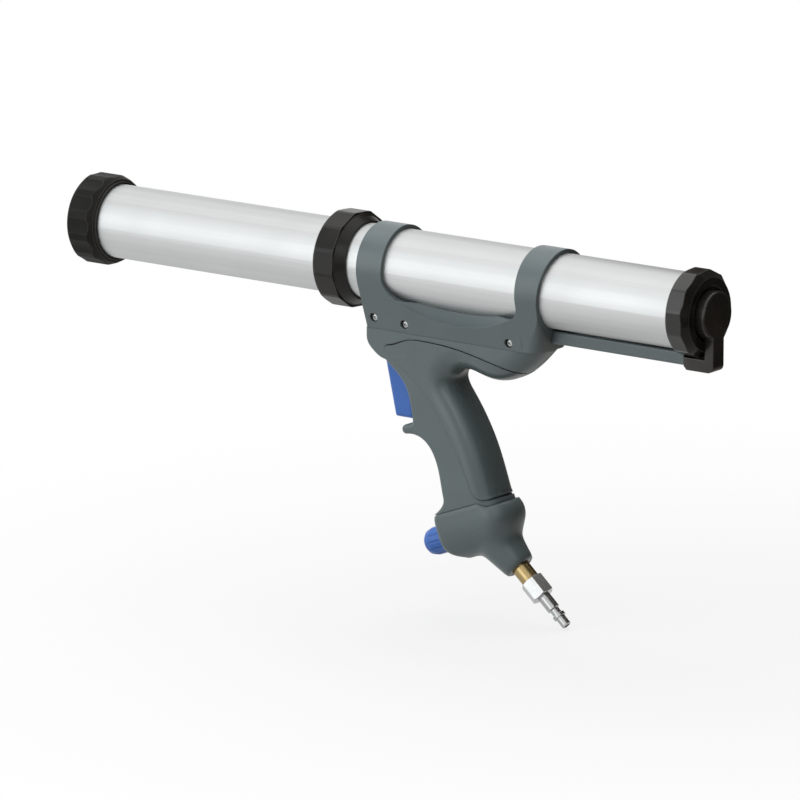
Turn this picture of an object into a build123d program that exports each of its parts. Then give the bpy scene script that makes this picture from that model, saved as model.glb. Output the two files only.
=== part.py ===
import os
from math import acos, atan2, cos, degrees, hypot, pi, radians, sin

from build123d import *

os.makedirs("parts", exist_ok=True)

# The tool lies along X with its muzzle towards +X, its left side towards +Y and its handle below.
# The origin is the centre of the nozzle bore, in the front face of the front cap.

# Play between pieces
run_gap = 0.05          # radial play of a sliding or turning fit
free_gap = 0.3          # room beside a piece that moves without being guided
thread_gap = 0.15       # radial play left for a screw thread

# Tubes
tube_od = 54.0
tube_wall = 1.6
front_tube_shown = 201.8
rear_tube_gap = 10.9    # bare tube between the collar and the handle cradle
rear_tube_shown = 105.7

# Front cap and nozzle seat
cap_len = 25.0
cap_wall = 6.25
cap_lip = 3.0
cap_grips = 12
cap_grip_r = 34.0
cap_grip_depth = 1.0
cap_chamfer = 1.75
cap_taper = 2.6         # the cap draws in by this much at its rear
cap_taper_len = 5.4
cap_skirt = 1.4         # stepped rim behind the taper
cap_skirt_wall = 2.0
nozzle_bore = 26.0
seat_flange = 3.0
seat_rim = 6.7          # wall of the seat round the nozzle bore

# Collar and bulkhead
collar_len = 25.1
collar_wall = 8.0
collar_flat_count = 12
collar_turn = 18.6      # degrees from the left side up to a corner
collar_grip = 18.0
collar_step = 1.2       # shoulder behind the grip
collar_end_wall = 1.6
bulkhead_flange = 6.0
bulkhead_spigot = 8.0
bulkhead_nose = 12.0
oring_wire = 2.4

# Piston, rod and plunger
rod_d = 12.0
stud_d = 8.0
piston_len = 16.0
cup_len = 6.0
cup_depth = 4.0
plunger_len = 12.0
nut_af = 13.0
nut_h = 5.0
bush_wall = 3.0
bush_len = 12.0
rod_seal_len = 4.0
end_rest = 0.6          # space left before a stroke end

# Rear ring and end cap
ring_len = 16.9
ring_wall = 4.0
ring_flat_count = 12
ring_turn = 10.0        # degrees from the left side up to a corner
ring_grip = 12.6
ring_taper = 5.0
flat_depth = 0.9        # flats below the round of the ring and collar
ring_lip = 4.0
ring_eye = 40.0
cap_flange = 4.4
cap_spigot = 8.0
boss_d = 34.4
boss_proud = 7.3
lug_w = 13.0
lug_len = 24.5
lug_drop = 2.8          # lug below the air channel
lug_heel = 4.5          # rounded lower corner at the rear
lug_toe = 2.4           # slanted lower corner at the front
lug_roof = 0.9          # lug wall above the channel spigot
air_bore = 5.0

# Air channel below the rear tube
chan_w = 13.0
chan_h = 9.4
chan_gap = 0.8
chan_spigot_d = 5.4
chan_spigot = 8.0
chan_port_d = 3.2

# Cradle
strap_w = 22.0
strap_t = 3.0
front_lean = 2.2        # cradle front at the seam, behind the front strap edge
strap_lean = 4.0        # rear strap edge at the stern, ahead of its top
window_len = 116.1
window_floor = 20.0     # window edge below the barrel axis
window_r_front = 17.0
window_r_rear = 10.0
scoop_r = 13.3
scoop_y = 26.0
scoop_z = 18.8
neck_half = 19.2
neck_drop = 16.5        # seam between cradle and handle, below the tube
stern_inset = 9.2       # cradle stern ahead of the rear strap edge, at the seam
stern_round = 10.0      # corners of the blunt stern, in plan
cavity_half = 13.5
cavity_roof = 1.7
cavity_wall = 4.0
cavity_stern = 18.0
rail_t = 4.2

# Cradle screws
screw_d = 3.2
screw_len = 10.0
head_d = 6.4
head_h = 2.4
head_sunk = 0.9

# Handle
rake = 21.0
grip_half = 19.6
cheek_half = 18.9
cover_t = 3.2
back_round = 17.2
core_round = 13.0
front_round = 2.4
nub_r = 3.4
nub_out = 5.0           # straight run of the shelf ahead of the nub
foot_back = 87.2        # centre of the handle foot behind the cradle front
foot_drop = 119.2       # centre of the handle foot below the seam
foot_front = 29.8
foot_rear = 24.5
hem = 4.6               # step of the foot behind, bare between grip cover and base
hem_groove = 1.1
hem_proud = 2.2
bead = 2.4              # thick lower border of the grip cover
bead_proud = 1.3
step_front = 10.0       # foot step, from here
step_rear = 19.5        # to here behind the foot centre
cover_corner = 10.3
cover_seam = 0.45       # open seam between cover and handle
cover_edge = 9.6        # front border of the cover at the foot, behind the foot centre

# Trigger and valve
pivot_back = 25.2
pivot_drop = 16.5
pin_d = 4.0
trigger_half = 8.8
trigger_pull = 9.0      # degrees
trigger_boss = 3.2      # wall round the pivot pin
trigger_height = 48.4
trigger_toe = 6.7       # front of the trigger at the bottom, ahead of the pivot
trigger_heel = 10.5     # back of the trigger at the bottom, behind the pivot
shoulder_out = 15.7
shoulder_drop = 7.8
slot_play = 0.5
valve_drop = 26.0       # valve axis below the trigger pivot
valve_d = 16.0
valve_tail = 6.2        # valve behind the pipe that feeds it
valve_back = 16.5
valve_end = 2.0
stem_d = 5.0
stem_guide = 12.0
stem_head_d = 9.0
stem_head = 2.5
chamber_d = 10.0
valve_wire = 0.9
stem_seal_len = 2.0
stem_seal_t = 1.6
pipe_d = 7.0
pipe_wall = 1.0
pipe_bend = 9.0

# Base and regulator
base_depth = 36.6
base_bulge = 1.6        # base front ahead of the handle foot
base_half = 20.2
base_tail = 18.0
base_corner = 5.0
base_bevel = 1.3        # open groove under the handle foot
knob_d = 20.4
knob_len = 21.9
knob_drop = 18.6
knob_grips = 12
knob_grip_depth = 0.5
knob_hub = 4.0          # knob length left ahead of the spindle
reg_bore = 22.0
spindle_d = 6.0
spindle_tail = 12.0
bonnet_len = 9.0
collar_t = 2.0
collar_d = 10.0
nut_len = 4.0
reg_spring_wire = 1.6
reg_spring_d = 16.0
reg_spring_len = 11.5
reg_piston_len = 4.0
reg_room = 10.0
foot_seal_t = 2.0

# Air inlet
inlet_dip = 42.0
inlet_back = 123.2      # centre of the inlet mouth behind the cradle front
inlet_drop = 161.5      # centre of the inlet mouth below the seam
mouth_d = 23.0
mouth_round = 1.6
neck_len = 27.0
neck_d = 33.0
adaptor_d = 13.4
adaptor_shown = 12.2
adaptor_sunk = 12.0
inlet_bore = 5.6
hex_af = 15.6
hex_len = 15.0
hex_chamfer = 1.5
hex_turn = 11.0
shank_d = 9.4
shank_len = 12.5
groove_d = 6.8
groove_len = 4.5
flange_d = 9.4
flange_len = 2.4
tip_d = 7.0
tip_len = 7.9
plug_bore = 4.4

# Radii and stations worked out from the sizes above
tube_r = tube_od / 2
bore_r = tube_r - tube_wall
rod_r = rod_d / 2
strap_r = tube_r + strap_t
cap_rear = -cap_len
collar_front = cap_rear - front_tube_shown
collar_rear = collar_front - collar_len
cradle_front = collar_rear - rear_tube_gap
window_front = cradle_front - strap_w
window_rear = window_front - window_len
cradle_rear = window_rear - strap_w
ring_front = cradle_rear - rear_tube_shown
ring_rear = ring_front - ring_len
boss_rear = ring_rear - boss_proud
tube_front = -(cap_lip + seat_flange + free_gap)
bulkhead_front = (collar_front + collar_rear) / 2 + bulkhead_flange / 2
bulkhead_rear = bulkhead_front - bulkhead_flange
cap_seat = ring_rear + ring_lip + cap_flange
seam_z = -tube_r - neck_drop
chan_top = -tube_r - chan_gap
chan_z = chan_top - chan_h / 2
chan_bottom = chan_top - chan_h
lug_front = boss_rear + lug_len
ring_r = tube_r + ring_wall
spigot_z = -ring_r - free_gap - lug_roof - chan_spigot_d / 2
seal_groove = oring_wire * 0.8
stern_x = cradle_rear + stern_inset


# Points of the handle are given behind and below the front corner of the seam
def at(back, down):
    return (cradle_front - back, seam_z - down)


# The handle foot has its own plane, square to the raked handle
foot_x, foot_z = at(foot_back, foot_drop)
foot_fwd = (cos(radians(rake)), 0, -sin(radians(rake)))
foot_up = (sin(radians(rake)), 0, cos(radians(rake)))
foot_side = Plane(origin=(foot_x, 0, foot_z), x_dir=foot_fwd, z_dir=(0, -1, 0))


def foot_level(height):
    centre = (foot_x + foot_up[0] * height, 0, foot_z + foot_up[2] * height)
    return Plane(origin=centre, x_dir=foot_fwd, z_dir=foot_up)


def on_foot(forward, height):
    x = foot_x + foot_fwd[0] * forward + foot_up[0] * height
    z = foot_z + foot_fwd[2] * forward + foot_up[2] * height
    return (x, z)


# A round piece about the barrel axis, or another axis plane, from its half section
def turned(points, plane=Plane.XZ):
    with BuildPart() as body:
        with BuildSketch(plane):
            with BuildLine():
                Polyline(*points, close=True)
            make_face()
        revolve(axis=Axis(plane.origin, plane.x_dir))
    return body.part


def finish(piece, name):
    piece.label = name
    export_step(piece, "parts/" + name + ".step")


# Front barrel: the open tube that takes the cartridge
with BuildPart() as front_barrel:
    with BuildSketch(Plane.YZ.offset(tube_front)):
        Circle(tube_r)
        Circle(bore_r, mode=Mode.SUBTRACT)
    extrude(amount=bulkhead_front - tube_front)
finish(front_barrel.part, "front_barrel")

# Front cap: a screwed ring with thumb scallops, open at the front for the nozzle seat
cap_r = tube_r + cap_wall
cap_eye = nozzle_bore / 2 + seat_rim + free_gap
with BuildPart() as front_cap:
    add(turned([
        (0, cap_eye),
        (0, cap_r - cap_chamfer),
        (-cap_chamfer, cap_r),
        (cap_rear + cap_skirt + cap_taper_len, cap_r),
        (cap_rear + cap_skirt, cap_r - cap_taper),
        (cap_rear + cap_skirt, tube_r + cap_skirt_wall),
        (cap_rear, tube_r + cap_skirt_wall),
        (cap_rear, tube_r + thread_gap),
        (-cap_lip, tube_r + thread_gap),
        (-cap_lip, cap_eye),
    ]))
    with BuildSketch(Plane.YZ):
        with PolarLocations(cap_r + cap_grip_r - cap_grip_depth, cap_grips):
            Circle(cap_grip_r)
    extrude(amount=cap_rear, mode=Mode.SUBTRACT)
finish(front_cap.part, "front_cap")

# Nozzle seat: a flanged metal ring held against the tube by the cap
with BuildPart() as nozzle_seat:
    add(turned([
        (0, nozzle_bore / 2),
        (0, nozzle_bore / 2 + seat_rim),
        (-cap_lip - run_gap, nozzle_bore / 2 + seat_rim),
        (-cap_lip - run_gap, tube_r - tube_wall / 2),
        (-cap_lip - seat_flange, tube_r - tube_wall / 2),
        (-cap_lip - seat_flange, nozzle_bore / 2),
    ]))
finish(nozzle_seat.part, "nozzle_seat")


# Collar: the flatted ring that joins the two tubes, with a shoulder and a cone behind its grip
collar_r = tube_r + collar_wall
collar_bend = collar_front - collar_grip
collar_flat = collar_r - flat_depth
with BuildPart() as collar:
    with BuildSketch(Plane.YZ.offset(collar_front)):
        RegularPolygon(collar_flat, collar_flat_count, major_radius=False, rotation=collar_turn)
    extrude(amount=-collar_len)
    add(turned([
        (collar_front, tube_r + thread_gap),
        (collar_front, collar_r - cap_chamfer),
        (collar_front - cap_chamfer, collar_r),
        (collar_bend, collar_r),
        (collar_bend, collar_flat - collar_step),
        (collar_rear, tube_r + collar_end_wall),
        (collar_rear, tube_r + thread_gap),
    ]), mode=Mode.INTERSECT)
finish(collar.part, "barrel_collar")

# Bulkhead: closes the air cylinder and guides the rod
bush_r = rod_r + bush_wall
spigot_r = bore_r - run_gap
groove_x = bulkhead_rear - bulkhead_nose / 2
with BuildPart() as bulkhead:
    add(turned([
        (bulkhead_front + bulkhead_spigot, bush_r),
        (bulkhead_front + bulkhead_spigot, spigot_r),
        (bulkhead_front, spigot_r),
        (bulkhead_front, tube_r),
        (bulkhead_rear, tube_r),
        (bulkhead_rear, spigot_r),
        (groove_x + oring_wire / 2, spigot_r),
        (groove_x + oring_wire / 2, spigot_r - seal_groove),
        (groove_x - oring_wire / 2, spigot_r - seal_groove),
        (groove_x - oring_wire / 2, spigot_r),
        (bulkhead_rear - bulkhead_nose, spigot_r),
        (bulkhead_rear - bulkhead_nose, bush_r),
    ]))
finish(bulkhead.part, "bulkhead")

# Bulkhead seal ring, squeezed square in its groove
with BuildPart() as bulkhead_seal:
    add(turned([
        (groove_x + oring_wire / 2, spigot_r - seal_groove),
        (groove_x + oring_wire / 2, bore_r),
        (groove_x - oring_wire / 2, bore_r),
        (groove_x - oring_wire / 2, spigot_r - seal_groove),
    ]))
finish(bulkhead_seal.part, "bulkhead_seal")

# Rod bush and rod seal, one behind the other in the bulkhead bore
bush_front = bulkhead_front + bulkhead_spigot - rod_seal_len
with BuildPart() as rod_bush:
    add(turned([
        (bush_front, rod_r + run_gap),
        (bush_front, bush_r),
        (bush_front - bush_len, bush_r),
        (bush_front - bush_len, rod_r + run_gap),
    ]))
finish(rod_bush.part, "rod_bush")
with BuildPart() as rod_seal:
    add(turned([
        (bush_front + rod_seal_len, rod_r + bush_wall / 2),
        (bush_front + rod_seal_len, bush_r),
        (bush_front, bush_r),
        (bush_front, rod_r + run_gap),
        (bush_front + rod_seal_len / 2, rod_r + run_gap),
    ]))
finish(rod_seal.part, "rod_seal")

# Rear cylinder: the tube that the air piston runs in
with BuildPart() as rear_cylinder:
    with BuildSketch(Plane.YZ.offset(bulkhead_rear)):
        Circle(tube_r)
        Circle(bore_r, mode=Mode.SUBTRACT)
    extrude(amount=cap_seat - bulkhead_rear)
finish(rear_cylinder.part, "rear_cylinder")

# Rear ring: the flatted nut that holds the end cap on the cylinder, with a cone behind its grip
ring_bend = ring_front - ring_grip
ring_flat = ring_r - flat_depth
with BuildPart() as rear_ring:
    with BuildSketch(Plane.YZ.offset(ring_front)):
        RegularPolygon(ring_flat, ring_flat_count, major_radius=False, rotation=ring_turn)
    extrude(amount=-ring_len)
    add(turned([
        (ring_front, tube_r + thread_gap),
        (ring_front, ring_r - cap_chamfer / 2),
        (ring_front - cap_chamfer / 2, ring_r),
        (ring_bend, ring_r),
        (ring_bend, ring_flat),
        (ring_rear, ring_r - ring_taper),
        (ring_rear, ring_eye / 2),
        (ring_rear + ring_lip, ring_eye / 2),
        (ring_rear + ring_lip, tube_r + thread_gap),
    ]), mode=Mode.INTERSECT)
finish(rear_ring.part, "rear_ring")

# Rear end cap: spigot, flange, round boss and the duct that leads down to the lug
cap_groove_x = cap_seat + cap_spigot / 2
boss_r = boss_d / 2
duct_front = boss_rear + boss_proud - free_gap
lug_sole = chan_bottom - lug_drop
with BuildPart() as rear_end_cap:
    add(turned([
        (cap_seat + cap_spigot, 0),
        (cap_seat + cap_spigot, spigot_r),
        (cap_groove_x + oring_wire / 2, spigot_r),
        (cap_groove_x + oring_wire / 2, spigot_r - seal_groove),
        (cap_groove_x - oring_wire / 2, spigot_r - seal_groove),
        (cap_groove_x - oring_wire / 2, spigot_r),
        (cap_seat, spigot_r),
        (cap_seat, tube_r),
        (cap_seat - cap_flange, tube_r),
        (cap_seat - cap_flange, boss_r),
        (boss_rear, boss_r),
        (boss_rear, 0),
    ]))
    fillet(rear_end_cap.edges().filter_by(GeomType.CIRCLE).group_by(Axis.X)[0], radius=boss_proud / 3)
    with BuildSketch(Plane.XZ):
        with BuildLine():
            Polyline(
                (boss_rear, 0),
                (duct_front, 0),
                (duct_front, -ring_r - free_gap),
                (lug_front, -ring_r - free_gap),
                (lug_front, lug_sole + lug_toe),
                (lug_front - lug_toe, lug_sole),
                (boss_rear, lug_sole),
                close=True,
            )
        make_face()
        fillet(vertices().group_by(Axis.Y)[0].sort_by(Axis.X)[0], radius=lug_heel)
    extrude(amount=lug_w / 2, both=True)
    with BuildSketch(Plane.YZ.offset(lug_front)):
        with Locations((0, spigot_z)):
            Circle(chan_spigot_d / 2 + run_gap)
    extrude(amount=-chan_spigot - free_gap, mode=Mode.SUBTRACT)
    with BuildSketch(Plane.YZ.offset(lug_front)):
        with Locations((0, spigot_z)):
            Circle(chan_port_d / 2)
    extrude(amount=-lug_len + boss_proud / 2, mode=Mode.SUBTRACT)
    with BuildSketch(Plane.XY.offset(spigot_z)):
        with Locations((boss_rear + boss_proud / 2, 0)):
            Circle(chan_port_d / 2)
    extrude(amount=-spigot_z, mode=Mode.SUBTRACT)
    with BuildSketch(Plane.YZ.offset(boss_rear + boss_proud / 2)):
        Circle(air_bore / 2)
    extrude(amount=cap_seat + cap_spigot - boss_rear, mode=Mode.SUBTRACT)
finish(rear_end_cap.part, "rear_end_cap")

# End cap seal ring
with BuildPart() as end_cap_seal:
    add(turned([
        (cap_groove_x + oring_wire / 2, spigot_r - seal_groove),
        (cap_groove_x + oring_wire / 2, bore_r),
        (cap_groove_x - oring_wire / 2, bore_r),
        (cap_groove_x - oring_wire / 2, spigot_r - seal_groove),
    ]))
finish(end_cap_seal.part, "end_cap_seal")

# Air piston with its cup seal, on the rear stud of the rod
piston_rear = cap_seat + cap_spigot + end_rest
piston_front = piston_rear + piston_len
piston_r = bore_r - free_gap
cup_front = piston_rear + (piston_len + cup_len) / 2
nut_room = nut_af * 0.72
with BuildPart() as piston:
    add(turned([
        (piston_front, stud_d / 2),
        (piston_front, piston_r),
        (cup_front, piston_r),
        (cup_front, piston_r - cup_depth),
        (cup_front - cup_len, piston_r - cup_depth),
        (cup_front - cup_len, piston_r),
        (piston_rear, piston_r),
        (piston_rear, nut_room),
        (piston_rear + nut_h * 1.5, nut_room),
        (piston_rear + nut_h * 1.5, stud_d / 2),
    ]))
finish(piston.part, "air_piston")
with BuildPart() as piston_cup:
    add(turned([
        (cup_front, piston_r - cup_depth),
        (cup_front, piston_r - cup_depth / 3),
        (cup_front - cup_len, bore_r - run_gap),
        (cup_front - cup_len, piston_r - cup_depth / 3),
        (cup_front - cup_len / 2, piston_r - cup_depth / 2),
        (cup_front - cup_len, piston_r - cup_depth),
    ]))
finish(piston_cup.part, "piston_cup")

# Piston rod with a stud at each end
plunger_rear = bulkhead_front + bulkhead_spigot + end_rest
plunger_front = plunger_rear + plunger_len
with BuildPart() as piston_rod:
    add(turned([
        (plunger_front, 0),
        (plunger_front, stud_d / 2),
        (plunger_rear, stud_d / 2),
        (plunger_rear, rod_r),
        (piston_front, rod_r),
        (piston_front, stud_d / 2),
        (piston_rear + nut_h / 2, stud_d / 2),
        (piston_rear + nut_h / 2, 0),
    ]))
finish(piston_rod.part, "piston_rod")

# Plunger: the dished disc that pushes the cartridge
plunger_r = bore_r - 3 * free_gap
with BuildPart() as plunger:
    add(turned([
        (plunger_rear, stud_d / 2),
        (plunger_rear, plunger_r * 0.45),
        (plunger_rear + plunger_len * 0.45, plunger_r * 0.92),
        (plunger_rear + plunger_len * 0.45, plunger_r),
        (plunger_front, plunger_r),
        (plunger_front, nut_room),
        (plunger_front - nut_h, nut_room),
        (plunger_front - nut_h, stud_d / 2),
    ]))
finish(plunger.part, "plunger_disc")

# The two nuts of the rod, one in the plunger and one in the piston
with BuildPart() as rod_nuts:
    with BuildSketch(Plane.YZ.offset(plunger_front - nut_h)):
        RegularPolygon(nut_af / 2, 6, major_radius=False)
        Circle(stud_d / 2, mode=Mode.SUBTRACT)
    extrude(amount=nut_h)
    with BuildSketch(Plane.YZ.offset(piston_rear + nut_h / 2)):
        RegularPolygon(nut_af / 2, 6, major_radius=False)
        Circle(stud_d / 2, mode=Mode.SUBTRACT)
    extrude(amount=nut_h)
finish(rod_nuts.part, "rod_nuts")

# Air channel: the duct from the cradle to the end cap
chan_front = stern_x + cavity_stern - free_gap - stern_inset
with BuildPart() as air_channel:
    with BuildSketch(Plane.YZ.offset(lug_front)):
        with Locations((0, chan_z)):
            RectangleRounded(chan_w, chan_h, chan_h / 6)
    extrude(amount=chan_front - lug_front)
    with BuildSketch(Plane.YZ.offset(lug_front)):
        with Locations((0, spigot_z)):
            Circle(chan_spigot_d / 2)
    extrude(amount=-chan_spigot)
    with BuildSketch(Plane.YZ.offset(lug_front - chan_spigot)):
        with Locations((0, spigot_z)):
            Circle(chan_port_d / 2)
    extrude(amount=3 * chan_spigot, mode=Mode.SUBTRACT)
    with BuildSketch(Plane.YZ.offset(lug_front + chan_spigot)):
        with Locations((0, chan_z)):
            Circle(air_bore / 2)
    extrude(amount=chan_front - lug_front - chan_spigot, mode=Mode.SUBTRACT)
    with BuildSketch(Plane.YZ.offset(chan_front)):
        with Locations((0, chan_z)):
            Circle(pipe_d / 2)
    extrude(amount=-chan_spigot, mode=Mode.SUBTRACT)
finish(air_channel.part, "air_channel")

# Screw places on the flank of the cradle, behind its front and above the seam
screw_places = [(9.4, 8.4), (35.9, 6.6), (126.6, 5.4)]


# Flank of the cradle: a line from the seam that meets the strap circle tangent
flank_reach = hypot(neck_half, seam_z)
tangent_angle = atan2(seam_z, neck_half) + acos(strap_r / flank_reach)
flank_top = (strap_r * cos(tangent_angle), strap_r * sin(tangent_angle))


def flank_y(z):
    share = (z - seam_z) / (flank_top[1] - seam_z)
    return neck_half + share * (flank_top[0] - neck_half)


# Stern outline of the cradle in plan
def stern_sketch(z, half, rear, corner):
    with BuildSketch(Plane.XY.offset(z)) as outline:
        with BuildLine():
            FilletPolyline((cradle_front + strap_w, half), (rear, half),
                           (rear, -half), (cradle_front + strap_w, -half), radius=corner)
            Line((cradle_front + strap_w, -half), (cradle_front + strap_w, half))
        make_face()
    return outline.sketch


# Cradle: two straps round the tube on a hollow neck, in one moulding
stern_top = -strap_r * 0.35
with BuildPart() as stern:
    loft([
        stern_sketch(seam_z, neck_half, stern_x, stern_round),
        stern_sketch(seam_z * 0.7, flank_y(seam_z * 0.7), stern_x - stern_inset * 0.4, stern_round * 0.7),
        stern_sketch(stern_top, flank_y(stern_top) + 2, cradle_rear + strap_lean, stern_round * 0.15),
    ])
with BuildPart() as stern_waste:
    with BuildSketch(Plane.XY.offset(seam_z)):
        with Locations((cradle_rear, 0)):
            Rectangle(2 * strap_w, 3 * strap_r)
    extrude(amount=stern_top - seam_z)
    add(stern.part, mode=Mode.SUBTRACT)
with BuildPart() as cradle:
    with BuildSketch(Plane.YZ.offset(cradle_front)):
        with BuildLine():
            Line((-neck_half, seam_z), (neck_half, seam_z))
            Line((neck_half, seam_z), flank_top)
            CenterArc((0, 0), strap_r, degrees(tangent_angle), 180 - 2 * degrees(tangent_angle))
            Line((-flank_top[0], flank_top[1]), (-neck_half, seam_z))
        make_face()
    extrude(amount=cradle_rear - cradle_front)
    add(stern_waste.part, mode=Mode.SUBTRACT)
    with BuildSketch(Plane.XZ):
        with BuildLine():
            Polyline(
                (cradle_front, stern_top),
                (cradle_front - front_lean, seam_z),
                (cradle_front + strap_t, seam_z),
                (cradle_front + strap_t, stern_top),
                close=True,
            )
        make_face()
        with BuildLine():
            Polyline(
                (cradle_rear, strap_r),
                (cradle_rear + strap_lean, stern_top),
                (cradle_rear - strap_t, stern_top),
                (cradle_rear - strap_t, 2 * strap_r),
                (cradle_rear, 2 * strap_r),
                close=True,
            )
        make_face()
    extrude(amount=2 * strap_r, both=True, mode=Mode.SUBTRACT)
    with BuildSketch(Plane.XZ) as window:
        with BuildLine():
            side = FilletPolyline(
                (window_front, 2 * strap_r),
                (window_front, -window_floor),
                (window_rear, -window_floor),
                (window_rear, 2 * strap_r),
                radius=[window_r_front, window_r_rear],
            )
            Line(side @ 1, side @ 0)
        make_face()
    extrude(amount=2 * strap_r, both=True, mode=Mode.SUBTRACT)
    for flank in (1, -1):
        scoop_plane = Plane(origin=(0, flank * scoop_y, -scoop_z), x_dir=(1, 0, 0), z_dir=(0, -1, 0))
        with BuildSketch(scoop_plane):
            with BuildLine():
                bow = ThreePointArc(
                    (window_front - strap_w * 0.4, 0),
                    ((window_front + window_rear) / 2, scoop_r),
                    (window_rear + strap_w * 0.25, 0),
                )
                Line(bow @ 1, bow @ 0)
            make_face()
        revolve(axis=Axis(scoop_plane.origin, scoop_plane.x_dir), mode=Mode.SUBTRACT)
    with BuildSketch(Plane.YZ.offset(cradle_front)):
        Circle(tube_r)
    extrude(amount=cradle_rear - cradle_front, mode=Mode.SUBTRACT)
    with BuildSketch(Plane.XY.offset(seam_z)):
        with BuildLine():
            Polyline(
                (cradle_front - cavity_wall, cavity_half),
                (chan_front + free_gap, cavity_half),
                (chan_front + free_gap, -cavity_half),
                (cradle_front - cavity_wall, -cavity_half),
                close=True,
            )
        make_face()
    extrude(amount=neck_drop - cavity_roof, mode=Mode.SUBTRACT)
    with BuildSketch(Plane.YZ.offset(chan_front + free_gap)):
        with Locations((0, chan_z)):
            RectangleRounded(chan_w, chan_h, chan_h / 6)
    extrude(amount=cradle_rear - chan_front - free_gap, mode=Mode.SUBTRACT)
    for back, up in screw_places:
        hole_x = cradle_front - back
        hole_z = seam_z + up
        with BuildSketch(Plane.XZ):
            with Locations((hole_x, hole_z)):
                Circle(screw_d / 2)
        extrude(amount=2 * neck_half, both=True, mode=Mode.SUBTRACT)
        for flank in (1, -1):
            floor_y = flank_y(hole_z) - head_h - head_sunk
            with BuildSketch(Plane.XZ.offset(-flank * floor_y)):
                with Locations((hole_x, hole_z)):
                    Circle(head_d / 2 + run_gap)
            extrude(amount=-flank * neck_half, mode=Mode.SUBTRACT)
finish(cradle.part, "barrel_cradle")

# Cradle screws, three on each side, into the rails of the handle
with BuildPart() as cradle_screws:
    for back, up in screw_places:
        hole_x = cradle_front - back
        hole_z = seam_z + up
        for flank in (1, -1):
            floor_y = flank_y(hole_z) - head_h - head_sunk
            with BuildSketch(Plane.XZ.offset(-flank * floor_y)):
                with Locations((hole_x, hole_z)):
                    Circle(head_d / 2)
            extrude(amount=-flank * head_h)
            with BuildSketch(Plane.XZ.offset(-flank * floor_y)):
                with Locations((hole_x, hole_z)):
                    Circle(screw_d / 2)
            extrude(amount=flank * screw_len)
finish(cradle_screws.part, "cradle_screws")

# Side outline of the handle: nose, trigger edge, nub, front of the grip, foot, back, web and stern
web_back = 77.5
stern_back = cradle_front - stern_x
belly_points = [(0.222, 24.2), (0.4, 26.6), (0.68, 21.2), (0.896, 8.3)]
back_points = [(97.8, 77), (88.5, 59), (76.4, 41), (71.4, 30), (web_back, 23.4)]
back_points += [(web_back + share * (stern_back - web_back), down) for share, down in belly_points]
back_rise = (foot_up[0], foot_up[2])
foot_aft = (-foot_fwd[0], -foot_fwd[2])
back_end = (-0.66, 0.75)
front_points = [(50, 75.8), (62.4, 93), (67.2, 113.5)]


# Step of the foot: from the sole in front down to the hem behind
def foot_step():
    return Spline(on_foot(-step_front, 0), on_foot(-step_rear, -hem), tangents=(foot_aft, foot_aft))


def handle_outline(inset):
    foot_a = on_foot(foot_front, 0)
    foot_b = on_foot(-foot_rear, -hem)
    points = [foot_b] + [at(*p) for p in back_points] + [(stern_x, seam_z)]
    with BuildSketch(Plane.XZ) as outline:
        with BuildLine():
            outer = Spline(*points, tangents=(back_rise, back_end), mode=Mode.PRIVATE)
            if inset:
                steps = [i / 20 for i in range(21)]
                spots = [outer @ t for t in steps]
                ways = [outer % t for t in steps]
                points = [(s.X + w.Y * inset, s.Y - w.X * inset) for s, w in zip(spots, ways)]
                back = Spline(*points)
            else:
                back = Spline(*points, tangents=(back_rise, back_end))
            Line(back @ 1, at(0, 0))
            Line(at(0, 0), at(0, 6))
            nose = Spline(at(0, 6), at(5.4, 16), at(16, 21.8), tangents=((0, -1), (-1, -0.2)))
            notch = JernArc(nose @ 1, nose % 1, 4, 28)
            edge = Spline(notch @ 1, at(34.6, 39), at(39.6, 55), at(41, 63.6),
                          tangents=(notch % 1, (-0.1, -1)))
            shelf = JernArc(edge @ 1, edge % 1, 2.2, 84)
            ledge = Line(shelf @ 1, shelf @ 1 + (shelf % 1) * nub_out)
            nub = JernArc(ledge @ 1, ledge % 1, nub_r, -180)
            front = Spline(nub @ 1, *[at(*p) for p in front_points], foot_a,
                           tangents=(nub % 1, (0.75, -0.65)))
            sole = Line(front @ 1, on_foot(-step_front, 0))
            step = foot_step()
            Line(step @ 1, back @ 0)
        make_face()
    return outline.sketch


def handle_block(half, inset, back_radius, front_radius):
    with BuildPart() as block:
        extrude(handle_outline(inset), amount=half, both=True)
        rims = block.edges().filter_by(lambda e: abs(abs(e.center().Y) - half) < run_gap)
        fillet(rims.sort_by(SortBy.LENGTH)[-2:], radius=back_radius)
        if front_radius:
            rims = block.edges().filter_by(lambda e: abs(abs(e.center().Y) - half) < run_gap)
            fillet(rims.filter_by(GeomType.CIRCLE), radius=front_radius)
    return block.part


# Zone of the soft grip cover: from under the cradle round the web and down the back of the handle
def cover_block(seam):
    with BuildPart() as block:
        with BuildSketch(Plane.XZ):
            with BuildLine():
                tip = ThreePointArc(at(19.5 + seam, 16), at(17.2 + seam, 12.8), at(19.5 + seam, 10.4 + seam))
                top = Spline(tip @ 1, at(36, 5 + seam), at(52.5, 3.6 + seam), at(83, 6 + seam),
                             at(109, 11.2 + seam), at(stern_back + 18.3, 32 + seam),
                             tangents=(tip % 1, (-1, -0.35)))
                front = Spline(tip @ 0, at(41.6 + seam, 32.2), at(62 + seam, 53), at(79.5 + seam, 80.3),
                               on_foot(-cover_edge - seam, cover_corner),
                               tangents=((-0.7, -0.6), (-foot_up[0], -foot_up[2])))
                bend = JernArc(front @ 1, front % 1, cover_corner - seam, -90)
                Polyline(bend @ 1, on_foot(-4 * foot_rear, seam), on_foot(-6 * foot_rear, foot_drop / 2), top @ 1)
            make_face()
        extrude(amount=2 * grip_half, both=True)
    return block.part


cover_zone = cover_block(0)


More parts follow.
